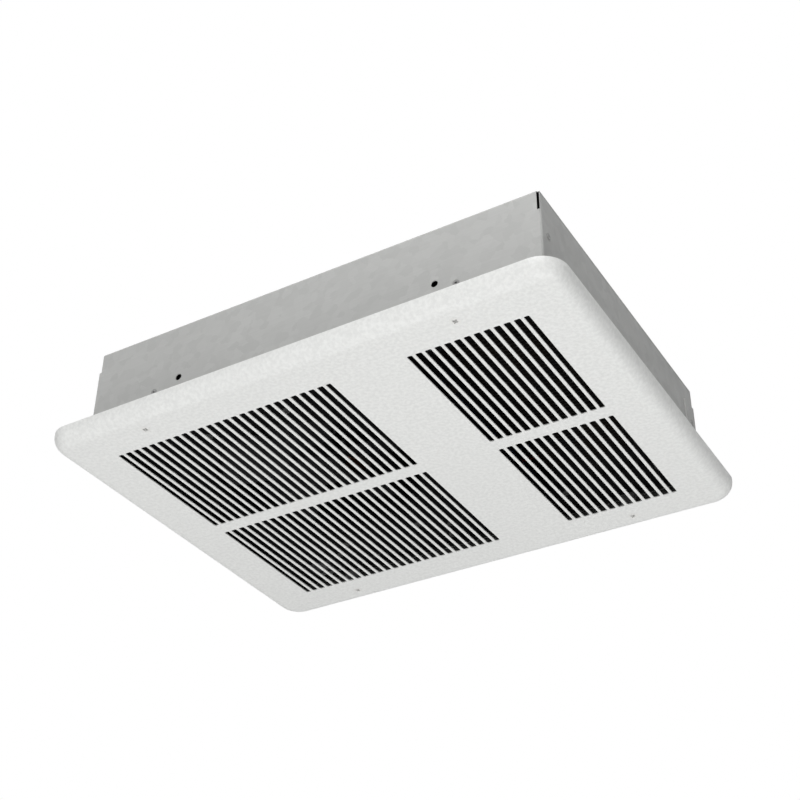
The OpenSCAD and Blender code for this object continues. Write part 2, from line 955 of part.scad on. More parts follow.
module fan_shroud() {
    roll_z = deck_top + mouth_r + shroud_t;
    color(black)
        translate([fan_x, 0, 0])
            rotate_extrude() {
                translate([throat_r, roll_z])
                    square([shroud_t, deck_top + throat_h - roll_z]);
                translate([roll_r, deck_top])
                    square([shroud_flange - 0.5, shroud_t]);
                translate([roll_r, roll_z])
                    intersection() {
                        difference() {
                            circle(r = mouth_r + shroud_t);
                            circle(r = mouth_r);
                        }
                        translate([-mouth_r - shroud_t, -mouth_r - shroud_t])
                            square([mouth_r + shroud_t, mouth_r + shroud_t]);
                    }
            }
}

// Straps over the fan that carry the motor
module motor_mount() {
    color(black)
        translate([fan_x, 0, 0])
            difference() {
                union() {
                    for (sx = [-1, 1])
                        translate([sx * strap_x - strap_w / 2, 0, 0]) {
                            block([0, -leg_reach_y - mount_t, mount_z],
                                [strap_w, leg_reach_y + mount_t, mount_top]);
                            for (sy = [1, 0])
                                mirror([0, sy, 0]) {
                                    block([0, leg_reach_y, deck_top],
                                        [strap_w, leg_reach_y + mount_t, mount_top]);
                                    block([0, leg_reach_y, deck_top],
                                        [strap_w, leg_reach_y + foot_l, deck_top + mount_t]);
                                }
                        }
                    block([-strap_x, -centre_plate_w / 2, mount_z],
                        [strap_x, centre_plate_w / 2, mount_top]);
                }
                translate([0, 0, mount_z - cut])
                    cylinder(h = mount_t + 2 * cut, r = centre_hole_r);
                for (s = [-1, 1])
                    translate([s * bolt_x, 0, mount_z - cut])
                        cylinder(h = mount_t + 2 * cut, r = grommet_r);
                translate([-fan_x, 0, deck_t - cut])
                    at_chassis_screws()
                        cylinder(h = mount_t + 2 * cut, r = small_shank_r + slack / 2);
            }
}

// Places of the motor's two long bolts
module at_motor_bolts(z) {
    for (s = [-1, 1])
        translate([fan_x + s * bolt_x, 0, z])
            children();
}

module motor_grommets() {
    color("#1d1d1e")
        at_motor_bolts(mount_z - grommet_lip)
            difference() {
                union() {
                    cylinder(h = grommet_lip, r = grommet_lip_r);
                    cylinder(h = mount_t + 2 * grommet_lip, r = grommet_r);
                    translate([0, 0, mount_t + grommet_lip])
                        cylinder(h = grommet_lip, r = grommet_lip_r);
                }
                translate([0, 0, -cut])
                    cylinder(h = mount_t + 2 * grommet_lip + 2 * cut,
                        r = motor_bolt_r + slack / 2);
            }
}

module motor_spacers() {
    low = mount_top + grommet_lip;
    high = stack_z - bracket_leg_h - bracket_plate_t;
    color(zinc)
        at_motor_bolts(low)
            tube(high - low, spacer_r, motor_bolt_r + slack / 2);
}

module motor_bolts() {
    low = mount_z - grommet_lip;
    high = stack_top + bracket_leg_h + bracket_plate_t + 4;
    color(zinc)
        at_motor_bolts(low)
            pan_screw(3.8, 2, motor_bolt_r, high - low);
}

module motor_nuts() {
    color(zinc)
        at_motor_bolts(stack_top + bracket_leg_h + bracket_plate_t)
            difference() {
                cylinder(h = 3.2, r = 4.2, $fn = 6);
                translate([0, 0, -cut])
                    cylinder(h = 3.2 + 2 * cut, r = motor_bolt_r + slack / 2);
            }
}

// A cast bearing bracket with its feet on z = 0 and its boss pointing up
module bearing_bracket() {
    color(zinc)
        difference() {
            union() {
                for (s = [-1, 1])
                    translate([s * bolt_x - 6, -bracket_half_w, 0])
                        cube([12, 2 * bracket_half_w, bracket_leg_h]);
                translate([-bracket_half_l, -bracket_half_w, bracket_leg_h])
                    cube([2 * bracket_half_l, 2 * bracket_half_w, bracket_plate_t]);
                translate([0, 0, bracket_leg_h])
                    cylinder(h = bracket_plate_t + bearing_boss_h, r = bearing_boss_r);
            }
            translate([0, 0, bracket_leg_h - cut])
                cylinder(h = bearing_l + 2 * cut, r = bearing_r);
            for (s = [-1, 1])
                translate([s * bolt_x, 0, -cut])
                    cylinder(h = bracket_leg_h + bracket_plate_t + 2 * cut,
                        r = motor_bolt_r + slack / 2);
        }
}

module front_bearing_bracket() {
    translate([fan_x, 0, stack_z])
        rotate([180, 0, 0])
            bearing_bracket();
}

module rear_bearing_bracket() {
    translate([fan_x, 0, stack_top])
        bearing_bracket();
}

module sleeve_bearings() {
    color(brass)
        for (z = [stack_z - bracket_leg_h - bearing_l, stack_top + bracket_leg_h])
            translate([fan_x, 0, z])
                tube(bearing_l, bearing_r, shaft_r + bearing_gap);
}

module stator_stack() {
    color(steel)
        translate([fan_x, 0, stack_z])
            difference() {
                translate([-stack_half_l, stack_near_y, 0])
                    cube([2 * stack_half_l, stack_far_y - stack_near_y, stack_h]);
                translate([0, 0, -cut])
                    cylinder(h = stack_h + 2 * cut, r = rotor_r + air_gap);
                block([-window_half_l, stack_bridge_y, -cut],
                    [window_half_l, limb_y, stack_h + cut]);
                for (s = [-1, 1])
                    translate([s * bolt_x, 0, -cut])
                        cylinder(h = stack_h + 2 * cut, r = motor_bolt_r + slack);
                for (s = [-1, 1])
                    for (y = [ring_inner_y, ring_outer_y])
                        translate([s * ring_x, s * y, -cut])
                            cylinder(h = stack_h + 2 * cut, r = ring_bar_r + slack / 2);
            }
}

// Copper loops that shade one side of each pole
module shading_rings() {
    color(copper)
        translate([fan_x, 0, stack_z])
            for (s = [-1, 1])
                rotate([0, 0, s > 0 ? 0 : 180]) {
                    for (y = [ring_inner_y, ring_outer_y])
                        translate([ring_x, y, 0])
                            cylinder(h = stack_h, r = ring_bar_r);
                    for (z = [-2 * ring_bar_r, stack_h])
                        block([ring_x - ring_bar_r, ring_inner_y - ring_bar_r, z],
                            [ring_x + ring_bar_r, ring_outer_y + ring_bar_r, z + 2 * ring_bar_r]);
                }
}

// A rectangular sleeve round the stack's limb, grown by the given amounts
module limb_sleeve(half_l, outer, inner) {
    difference() {
        block([-half_l, limb_y - outer, -outer],
            [half_l, stack_far_y + outer, stack_h + outer]);
        block([-half_l - cut, limb_y - inner, -inner],
            [half_l + cut, stack_far_y + inner, stack_h + inner]);
    }
}

module coil_bobbin() {
    sleeve = slack + bobbin_t;
    color("#3c3b38")
        translate([fan_x, 0, stack_z]) {
            limb_sleeve(bobbin_half_l, sleeve, slack);
            for (s = [-1, 1])
                translate([s * (bobbin_half_l - flange_t / 2), 0, 0])
                    limb_sleeve(flange_t / 2, sleeve + winding_t, slack);
        }
}

module coil_winding() {
    sleeve = slack + bobbin_t;
    color(copper)
        translate([fan_x, 0, stack_z])
            limb_sleeve(bobbin_half_l - flange_t, sleeve + winding_t - 0.8, sleeve);
}

module rotor_core() {
    color(steel)
        translate([fan_x, 0, stack_z])
            difference() {
                union() {
                    cylinder(h = stack_h, r = rotor_r);
                    translate([0, 0, -end_ring_h])
                        cylinder(h = stack_h + 2 * end_ring_h, r = end_ring_r);
                }
                translate([0, 0, -end_ring_h - cut])
                    cylinder(h = stack_h + 2 * (end_ring_h + cut), r = shaft_r);
            }
}

module motor_shaft() {
    color(steel)
        translate([fan_x, 0, shaft_z])
            cylinder(h = shaft_top_z - shaft_z, r = shaft_r);
}

// Outline of a blade seen square on, with its root at the hub
module blade_outline() {
    root_x = hub_r - hub_wall / 2;
    intersection() {
        circle(r = fan_r);
        polygon([[root_x, -root_chord / 2], [fan_r + cut, -tip_chord / 2],
            [fan_r + cut, tip_chord / 2], [root_x, root_chord / 2]]);
        translate([fan_r + tip_overhang - blade_round_r, 0])
            circle(r = blade_round_r);
    }
}

// One cambered blade, set at the blade angle
module blade() {
    rotate([blade_angle, 0, 0])
        intersection() {
            linear_extrude(3 * hub_h, center = true)
                blade_outline();
            translate([0, 0, -camber_r])
                rotate([0, 90, 0])
                    tube(fan_r + cut, camber_r + blade_t / 2, camber_r - blade_t / 2);
        }
}

module fan_wheel() {
    color("#26282b")
        translate([fan_x, 0, 0])
            difference() {
                union() {
                    translate([0, 0, hub_z])
                        difference() {
                            cylinder(h = hub_h, r = hub_r);
                            translate([0, 0, hub_wall])
                                cylinder(h = hub_h, r = hub_r - hub_wall);
                        }
                    translate([0, 0, hub_z])
                        cylinder(h = boss_h, r = boss_r);
                    for (i = [0:blade_count - 1])
                        rotate([0, 0, i * 360 / blade_count]) {
                            translate([0, 0, blade_mid_z])
                                blade();
                            block([boss_r - 1, -rib_t / 2, hub_z + hub_wall - 0.2],
                                [hub_r - hub_wall + 0.5, rib_t / 2, hub_z + hub_h / 2]);
                        }
                }
                translate([0, 0, hub_z + hub_wall])
                    cylinder(h = hub_h, r = insert_r);
                translate([0, 0, set_screw_z])
                    rotate([0, 90, 0])
                        cylinder(h = boss_r + 2, r = set_screw_r + slack / 2);
            }
}

// Bush moulded into the hub's boss
module hub_insert() {
    low = hub_z + hub_wall;
    color(brass)
        translate([fan_x, 0, 0])
            difference() {
                translate([0, 0, low])
                    cylinder(h = boss_h - hub_wall, r = insert_r);
                translate([0, 0, low - cut])
                    cylinder(h = boss_h + 2 * cut, r = shaft_r);
                translate([0, 0, set_screw_z])
                    rotate([0, 90, 0])
                        cylinder(h = insert_r + cut, r = set_screw_r + slack / 2);
            }
}

module hub_set_screw() {
    color(steel)
        translate([fan_x + shaft_r, 0, set_screw_z])
            rotate([0, 90, 0])
                difference() {
                    cylinder(h = boss_r - shaft_r, r = set_screw_r);
                    translate([0, 0, boss_r - shaft_r - 1.2])
                        cylinder(h = 2, r = 0.8, $fn = 6);
                }
}

// ---------- heating element ----------

// Place along X of a pass of the tube
function pass_x(i) = outlet_x + (i - (pass_count - 1) / 2) * tube_pitch;

module element_tube() {
    color("#5c5f61") {
        for (i = [0:pass_count - 1]) {
            far = (i == 0 || i == pass_count - 1) ? stud_base_y : tube_straight;
            run([pass_x(i), -tube_straight, tube_z], [pass_x(i), far, tube_z], tube_r);
        }
        for (i = [0:pass_count - 2]) {
            side = i % 2 == 0 ? -1 : 1;
            translate([(pass_x(i) + pass_x(i + 1)) / 2, side * tube_straight, tube_z])
                rotate([0, 0, side > 0 ? 0 : 180])
                    rotate_extrude(angle = 180)
                        translate([tube_pitch / 2, 0])
                            circle(r = tube_r);
        }
    }
}

module element_fins() {
    step = fin_span / (fin_count - 1);
    color("#8a8d8e")
        for (i = [0:fin_count - 1])
            difference() {
                translate([outlet_x - fin_l / 2, -fin_span / 2 + i * step - fin_t / 2,
                    tube_z - fin_h / 2])
                    cube([fin_l, fin_t, fin_h]);
                for (p = [0:pass_count - 1])
                    translate([pass_x(p), -fin_span / 2 + i * step, tube_z])
                        rotate([90, 0, 0])
                            cylinder(h = 2 * fin_t + cut, r = tube_r + slack / 2, center = true);
            }
}

// A plate with a foot on the deck that carries one end of the passes
module element_plate() {
    color(galvanised)
        difference() {
            union() {
                block([outlet_x - plate_l / 2, plate_y, deck_top],
                    [outlet_x + plate_l / 2, plate_y + deck_t, deck_top + end_plate_h]);
                block([outlet_x - plate_l / 2, plate_y, deck_top],
                    [outlet_x + plate_l / 2, plate_y + deck_t + plate_foot, deck_top + deck_t]);
            }
            for (p = [0:pass_count - 1])
                translate([pass_x(p), plate_y + deck_t / 2, tube_z])
                    rotate([90, 0, 0])
                        cylinder(h = deck_t + 2 * cut, r = tube_r + slack, center = true);
            for (s = [-1, 1])
                translate([outlet_x + s * (plate_l / 2 - 14),
                    plate_y + deck_t + plate_foot / 2, deck_top - cut])
                    cylinder(h = deck_t + 2 * cut, r = small_shank_r + slack / 2);
        }
}

module element_plate_near() {
    mirror([0, 1, 0])
        element_plate();
}

module element_plate_far() {
    element_plate();
}

// Places of the two ends of the tube, along +Y
module at_element_ends(y) {
    for (i = [0, pass_count - 1])
        translate([pass_x(i), y, tube_z])
            rotate([-90, 0, 0])
                children();
}

module element_studs() {
    color(steel)
        at_element_ends(stud_base_y)
            cylinder(h = stud_end_y - stud_base_y, r = stud_r);
}

module element_insulators() {
    color("#e4ddcc")
        at_element_ends(stud_base_y)
            difference() {
                cylinder(h = insulator_l, r1 = tube_r - 0.2, r2 = tube_r - 1);
                translate([0, 0, -cut])
                    cylinder(h = insulator_l + 2 * cut, r = stud_r + slack / 2);
            }
}

module element_nuts() {
    color(zinc)
        at_element_ends(nut_y)
            difference() {
                cylinder(h = nut_h, r = 3.4, $fn = 6);
                translate([0, 0, -cut])
                    cylinder(h = nut_h + 2 * cut, r = stud_r + slack / 2);
            }
}

// Curved sheet that turns the air to the element
module air_deflector() {
    centre_x = inner_x - deflector_r;
    centre_z = ceiling_z - deflector_r;
    tail_z = deck_top + rail_h + deflector_gap;
    color(galvanised)
        rotate([90, 0, 0])
            linear_extrude(2 * plate_y - 2, center = true) {
                translate([centre_x, centre_z])
                    intersection() {
                        difference() {
                            circle(r = deflector_r, $fn = 96);
                            circle(r = deflector_r - deck_t, $fn = 96);
                        }
                        square([deflector_r, deflector_r]);
                    }
                translate([centre_x - deflector_tail, ceiling_z - deck_t])
                    square([deflector_tail, deck_t]);
                translate([inner_x - deck_t, tail_z])
                    square([deck_t, centre_z - tail_z]);
            }
}

// ---------- wiring bay and controls ----------

// Places of the motor leads' bushings in the partition
module at_motor_bushings() {
    for (i = [0, 1])
        translate([pole_x(i), partition_y, motor_lead_z])
            rotate([-90, 0, 0])
                children();
}

// Places of the bushings in the bay's end wall
module at_bay_bushings() {
    for (p = [[(lead_one_y + lead_two_y) / 2, (lead_one_z + lead_two_z) / 2],
              [(lead_y + limit_two_y) / 2, (limit_lead_z + limit_two_z) / 2],
              [(delay_one_y + delay_two_y) / 2, (delay_one_z + delay_two_z) / 2]])
        translate([bay_right_x, p[0], p[1]])
            rotate([0, 90, 0])
                children();
}

module wiring_partition() {
    color(galvanised)
        difference() {
            union() {
                block([bay_left_x, partition_y, deck_top],
                    [bay_right_x + deck_t, partition_y + deck_t, partition_top]);
                block([bay_left_x, partition_y, deck_top],
                    [bay_left_x + deck_t, partition_far_y, partition_top]);
                block([bay_right_x, partition_y, deck_top],
                    [bay_right_x + deck_t, partition_far_y, partition_top]);
                block([bay_left_x + bay_foot_in, partition_y, deck_top],
                    [bay_right_x - bay_foot_back, partition_y + deck_t + partition_foot,
                        deck_top + deck_t]);
            }
            at_motor_bushings()
                translate([0, 0, -cut])
                    cylinder(h = deck_t + 2 * cut, r = motor_bush_r);
            at_bay_bushings()
                translate([0, 0, -cut])
                    cylinder(h = deck_t + 2 * cut, r = bush_r);
            for (x = [bay_left_x + foot_screw_in, bay_right_x - foot_screw_back])
                translate([x, partition_y + deck_t + partition_foot / 2, deck_top - cut])
                    cylinder(h = deck_t + 2 * cut, r = small_shank_r + slack / 2);
            translate([bay_right_x - ground_in, partition_y - cut, block_z])
                rotate([-90, 0, 0])
                    cylinder(h = deck_t + 2 * cut, r = small_shank_r + slack / 2);
        }
}

// Plate under the deck, below the terminals
module wiring_cover() {
    color(black)
        difference() {
            block([cover_left_x - cover_lap - cover_tab, cover_near_y - cover_lap, deck_z - deck_t],
                [cover_right_x + cover_lap + cover_tab, cover_far_y, deck_z]);
            translate([0, 0, -deck_t - cut])
                at_hanging_screws()
                    cylinder(h = deck_t + 2 * cut, r = small_shank_r + slack / 2);
        }
}

// A snap bushing in a hole of radius r, with a lip on each side of the sheet
module bushing(r) {
    difference() {
        union() {
            translate([0, 0, -bush_lip_t])
                cylinder(h = bush_lip_t, r = r + bush_lip_w);
            cylinder(h = deck_t, r = r);
            translate([0, 0, deck_t])
                cylinder(h = bush_lip_t, r = r + bush_lip_w);
        }
        translate([0, 0, -bush_lip_t - cut])
            cylinder(h = deck_t + 2 * (bush_lip_t + cut), r = r - bush_wall);
    }
}

module lead_bushings() {
    color("#1d1d1e") {
        at_motor_bushings()
            bushing(motor_bush_r);
        at_bay_bushings()
            bushing(bush_r);
    }
}

// Place along X of a pole of the terminal block
function pole_x(i) = first_pole_x + i * pole_pitch;

module terminal_block() {
    low_x = pole_x(0) - block_margin;
    high_x = pole_x(pole_count - 1) + block_margin;
    face_y = block_y + block_depth;
    color("#cfc8b4")
        difference() {
            union() {
                block([low_x, block_y, block_z], [high_x, face_y, block_z + block_h]);
                for (i = [0:pole_count])
                    translate([pole_x(i) - pole_pitch / 2, 0, 0])
                        block([-barrier_t / 2, face_y, block_z],
                            [barrier_t / 2, face_y + barrier_h, block_z + block_h]);
            }
            for (i = [0:pole_count - 1])
                for (z = [block_z + block_h * 0.27, block_z + block_h * 0.73])
                    translate([pole_x(i), face_y + cut, z])
                        rotate([90, 0, 0])
                            cylinder(h = 6 + cut, r = small_shank_r + slack / 2);
        }
}

module terminal_screws() {
    face_y = block_y + block_depth;
    color(brass)
        for (i = [0:pole_count - 1])
            for (z = [block_z + block_h * 0.27, block_z + block_h * 0.73])
                translate([pole_x(i), face_y, z])
                    rotate([90, 0, 0])
                        pan_screw(3.2, 2, small_shank_r, 5.6);
}

module ground_screw() {
    color("#3f8a4c")
        translate([bay_right_x - ground_in, partition_y + deck_t, block_z])
            rotate([90, 0, 0])
                difference() {
                    union() {
                        translate([0, 0, -3])
                            cylinder(h = 3, r = 4.6, $fn = 6);
                        cylinder(h = deck_t + 4, r = small_shank_r);
                    }
                    block([-6, -0.6, -4], [6, 0.6, -2]);
                }
}

// Double pole rocker switch that snaps into the deck from below
module switch_body() {
    low = deck_z - bezel_t;
    color("#222326")
        difference() {
            union() {
                block([switch_x - bezel_l / 2, switch_y - bezel_w / 2, low],
                    [switch_x + bezel_l / 2, switch_y + bezel_w / 2, deck_z]);
                block([switch_x - barrel_l / 2, switch_y - barrel_w / 2, deck_z - slack],
                    [switch_x + barrel_l / 2, switch_y + barrel_w / 2, deck_z + barrel_h]);
            }
            block([switch_x - well_l / 2, switch_y - well_w / 2, low - cut],
                [switch_x + well_l / 2, switch_y + well_w / 2, deck_z + well_h]);
            translate([switch_x, switch_y, rocker_pivot_z])
                rotate([90, 0, 0])
                    cylinder(h = barrel_w + 2, r = rocker_pin_r + rocker_gap, center = true);
        }
}

// Rocker, pressed at its -X end while the heater is on
module switch_rocker() {
    color("#303236")
        translate([switch_x, switch_y, rocker_pivot_z])
            rotate([90, rocker_tilt, 0]) {
                linear_extrude(rocker_w, center = true) {
                    circle(r = 4);
                    polygon([[-4, 0], [4, 0], [rocker_half_l, -6.5], [rocker_half_l, -9.2],
                        [0, -7.2], [-rocker_half_l, -9.2], [-rocker_half_l, -6.5]]);
                }
                cylinder(h = rocker_w + 2 * rocker_pin_l, r = rocker_pin_r, center = true);
            }
}

module switch_tabs() {
    low = deck_z + barrel_h;
    color(brass)
        translate([switch_x, switch_y, low])
            four_ways(tab_dx, tab_dy)
                block([-tab_t / 2, -tab_l / 2, 0], [tab_t / 2, tab_l / 2, tab_h]);
}

module limit_body() {
    low = deck_top + limit_flange_t;
    color("#2b2a28")
        translate([limit_x, limit_y, 0])
            difference() {
                union() {
                    translate([0, 0, deck_top])
                        cylinder(h = limit_h + limit_flange_t, r = limit_r);
                    block([-6, -limit_ear_l, deck_top], [6, limit_ear_l, low]);
                }
                translate([0, 0, deck_top - cut])
                    cylinder(h = limit_h, r = button_r + button_gap);
                translate([0, 0, low])
                    cylinder(h = collar_h + button_travel + 1.4, r = button_r + button_collar + 0.3);
            }
}

module limit_tabs() {
    color(brass)
        for (s = [-1, 1])
            translate([limit_x + s * limit_tab_dx, limit_y,
                deck_top + limit_flange_t + limit_h])
                block([-tab_t / 2, -tab_l / 2, 0], [tab_t / 2, tab_l / 2, tab_h]);
}

// Red button that is pressed up from below to reset the limit
module reset_button() {
    top_z = collar_z + collar_h + 1;
    color("#a8261d")
        translate([limit_x, limit_y, 0]) {
            translate([0, 0, button_low_z])
                cylinder(h = top_z - button_low_z, r = button_r);
            translate([0, 0, collar_z])
                cylinder(h = collar_h, r = button_r + button_collar);
        }
}

module fan_delay_switch() {
    color("#2b2a28")
        translate([delay_x, plate_y + deck_t, delay_z])
            rotate([-90, 0, 0]) {
                cylinder(h = delay_t, r = delay_r);
                block([-delay_ear, -delay_ear_w, 0], [delay_ear, delay_ear_w, 1]);
                for (s = [-1, 1])
                    translate([s * delay_tab_dx, 0, delay_t])
                        block([-tab_t / 2, -tab_l / 2, 0], [tab_t / 2, tab_l / 2, 5]);
            }
}

// ---------- leads ----------

module motor_leads() {
    coil_y = stack_far_y + slack + bobbin_t + winding_t;
    color("#202124")
        for (i = [0, 1])
            lead([[pole_x(i), coil_y + 0.1, motor_lead_z], [pole_x(i), lead_y, motor_lead_z],
                [pole_x(i), lead_y, block_z + block_h]], lead_r);
}

module element_leads() {
    start_z = tube_z + stud_r + slack;
    first = pass_x(0);
    last = pass_x(pass_count - 1);
    color("#9c2f26") {
        lead([[first, lead_one_y, start_z], [first, lead_one_y, lead_one_z],
            [pole_x(2), lead_one_y, lead_one_z], [pole_x(2), lead_y, lead_one_z],
            [pole_x(2), lead_y, block_z + block_h]], power_lead_r);
        lead([[last, lead_two_y, start_z], [last, lead_two_y, lead_two_z],
            [pole_x(3), lead_two_y, lead_two_z], [pole_x(3), lead_y, lead_two_z],
            [pole_x(3), lead_y, block_z + block_h]], power_lead_r);
    }
}

module switch_leads() {
    start_z = deck_z + barrel_h + tab_h;
    near_y = switch_y - tab_dy;
    far_y = switch_y + tab_dy;
    near_turn_x = pole_x(0) - lead_turn - 6;
    far_turn_x = pole_x(0) - lead_turn;
    color("#202124") {
        lead([[switch_x + tab_dx, near_y, start_z], [switch_x + tab_dx, near_y, start_z + 10],
            [near_turn_x, near_y, start_z + 10], [near_turn_x, near_y, block_z - 10],
            [pole_x(0), near_y, block_z - 10], [pole_x(0), near_y, block_z]], power_lead_r);
        lead([[switch_x - tab_dx, far_y, start_z], [switch_x - tab_dx, far_y, start_z + 18],
            [far_turn_x, far_y, start_z + 18], [far_turn_x, far_y, block_z - 16],
            [pole_x(1), far_y, block_z - 16], [pole_x(1), near_y, block_z - 16],
            [pole_x(1), near_y, block_z]], power_lead_r);
    }
}

module limit_leads() {
    start_z = deck_top + limit_flange_t + limit_h + tab_h;
    one_x = limit_x - limit_tab_dx;
    two_x = limit_x + limit_tab_dx;
    color("#2f4f8f") {
        lead([[one_x, limit_y, start_z], [one_x, limit_y, limit_lead_z],
            [one_x, lead_y, limit_lead_z], [pole_x(4), lead_y, limit_lead_z],
            [pole_x(4), lead_y, block_z]], lead_r);
        lead([[two_x, limit_y, start_z], [two_x, limit_y, limit_two_z],
            [two_x, limit_two_y, limit_two_z], [pole_x(3), limit_two_y, limit_two_z],
            [pole_x(3), lead_y, limit_two_z], [pole_x(3), lead_y, block_z]], lead_r);
    }
}

module delay_leads() {
    start_y = plate_y + deck_t + delay_t + 5;
    one_x = delay_x - delay_tab_dx;
    two_x = delay_x + delay_tab_dx;
    color("#2f4f8f") {
        lead([[one_x, start_y, delay_z], [one_x, delay_one_y, delay_z],
            [one_x, delay_one_y, delay_one_z], [pole_x(4), delay_one_y, delay_one_z],
            [pole_x(4), lead_y, delay_one_z], [pole_x(4), lead_y, block_z + block_h]], lead_r);
        lead([[two_x, start_y, delay_z], [two_x, delay_two_y, delay_z],
            [two_x, delay_two_y, delay_two_z], [pole_x(5), delay_two_y, delay_two_z],
            [pole_x(5), lead_y, delay_two_z], [pole_x(5), lead_y, block_z + block_h]], lead_r);
    }
}

// ---------- one line per node ----------

front_panel();
grille_screws();
clip_nuts();
grille_brackets();
bracket_rivets();
back_box();
ceiling_flanges();
corner_rivets();
deck_rails();
fan_deck();
deck_screws();
chassis_screws();
chamber_divider();
divider_seal();
fan_shroud();
motor_mount();
motor_grommets();
motor_spacers();
motor_bolts();
motor_nuts();
front_bearing_bracket();
rear_bearing_bracket();
sleeve_bearings();
stator_stack();
shading_rings();
coil_bobbin();
coil_winding();
rotor_core();
motor_shaft();
fan_wheel();
hub_insert();
hub_set_screw();
element_tube();
element_fins();
element_plate_near();
element_plate_far();
element_studs();
element_insulators();
element_nuts();
air_deflector();
wiring_partition();
wiring_cover();
lead_bushings();
terminal_block();
terminal_screws();
ground_screw();
switch_body();
switch_rocker();
switch_tabs();
limit_body();
limit_tabs();
reset_button();
fan_delay_switch();
motor_leads();
element_leads();
switch_leads();
limit_leads();
delay_leads();
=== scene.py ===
# %% [markdown]
# # A recessed ceiling heater, seen from below
# The heater's solids come in as a fixed frame, in metres: a pressed panel with slots, a box
# behind it, and everything inside. The origin is the centre of the panel's room face, +X runs
# towards the small outlet grille and +Z goes up into the ceiling. This lesson gives each piece
# its finish, models the pieces that plain solids can't show, and sets the light and the camera.

# %% Load the frame
import json
import math
import bmesh
import bpy
from mathutils import Matrix, Vector

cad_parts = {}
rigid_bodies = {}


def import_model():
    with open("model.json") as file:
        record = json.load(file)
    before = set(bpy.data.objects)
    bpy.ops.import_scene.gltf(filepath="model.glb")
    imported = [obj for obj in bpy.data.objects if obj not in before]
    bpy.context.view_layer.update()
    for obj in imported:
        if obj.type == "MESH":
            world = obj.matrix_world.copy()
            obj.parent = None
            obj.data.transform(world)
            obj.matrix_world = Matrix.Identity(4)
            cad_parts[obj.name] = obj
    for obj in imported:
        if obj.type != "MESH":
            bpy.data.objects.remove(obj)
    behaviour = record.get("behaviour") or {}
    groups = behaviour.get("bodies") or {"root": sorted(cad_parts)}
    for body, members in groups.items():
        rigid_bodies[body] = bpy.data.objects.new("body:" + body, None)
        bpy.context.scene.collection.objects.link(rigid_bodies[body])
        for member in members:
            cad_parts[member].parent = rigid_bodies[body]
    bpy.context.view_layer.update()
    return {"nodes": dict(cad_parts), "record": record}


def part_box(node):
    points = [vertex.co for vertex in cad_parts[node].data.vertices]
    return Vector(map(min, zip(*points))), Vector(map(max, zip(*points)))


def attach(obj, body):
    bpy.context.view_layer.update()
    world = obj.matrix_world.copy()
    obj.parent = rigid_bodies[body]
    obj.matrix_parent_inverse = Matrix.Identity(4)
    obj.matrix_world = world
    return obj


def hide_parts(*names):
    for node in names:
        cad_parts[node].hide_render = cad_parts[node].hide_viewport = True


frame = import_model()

nodes = frame["nodes"]

# %% [markdown]
# ## Writing shader maths as sums
# A finish is a small network of nodes. Wiring them by hand takes many lines, so one class wraps
# a socket and lets `+`, `-`, `*` and the others add Math nodes. Colours don't go through Math
# nodes, which would turn them grey: they are mixed.

# %% A socket that can be added and multiplied
class Value:
    """A number that changes over a surface."""

    def __init__(self, finish, socket):
        self.finish = finish
        self.socket = socket

    def maths(self, operation, *numbers):
        return self.finish.node("ShaderNodeMath", {"operation": operation},
                                dict(enumerate(numbers)))

    def __add__(self, other):
        return self.maths("ADD", self, other)

    def __radd__(self, other):
        return self.maths("ADD", other, self)

    def __sub__(self, other):
        return self.maths("SUBTRACT", self, other)

    def __rsub__(self, other):
        return self.maths("SUBTRACT", other, self)

    def __mul__(self, other):
        return self.maths("MULTIPLY", self, other)

    def __rmul__(self, other):
        return self.maths("MULTIPLY", other, self)

    def __pow__(self, other):
        return self.maths("POWER", self, other)

    def __abs__(self):
        return self.maths("ABSOLUTE", self)

    def __lt__(self, other):
        return self.maths("LESS_THAN", self, other)

    def sine(self):
        return self.maths("SINE", self)


print("a value takes + - * ** abs < and sine")

# %% [markdown]
# ## One class for a finish
# Every finish here is one principled shader, fed by patterns that read Object coordinates. The
# solids sit at the origin, so those coordinates are the heater's own millimetres, and a pattern
# keeps its real size on every piece. Settings go in before sockets, because a setting can change
# which sockets a node has.

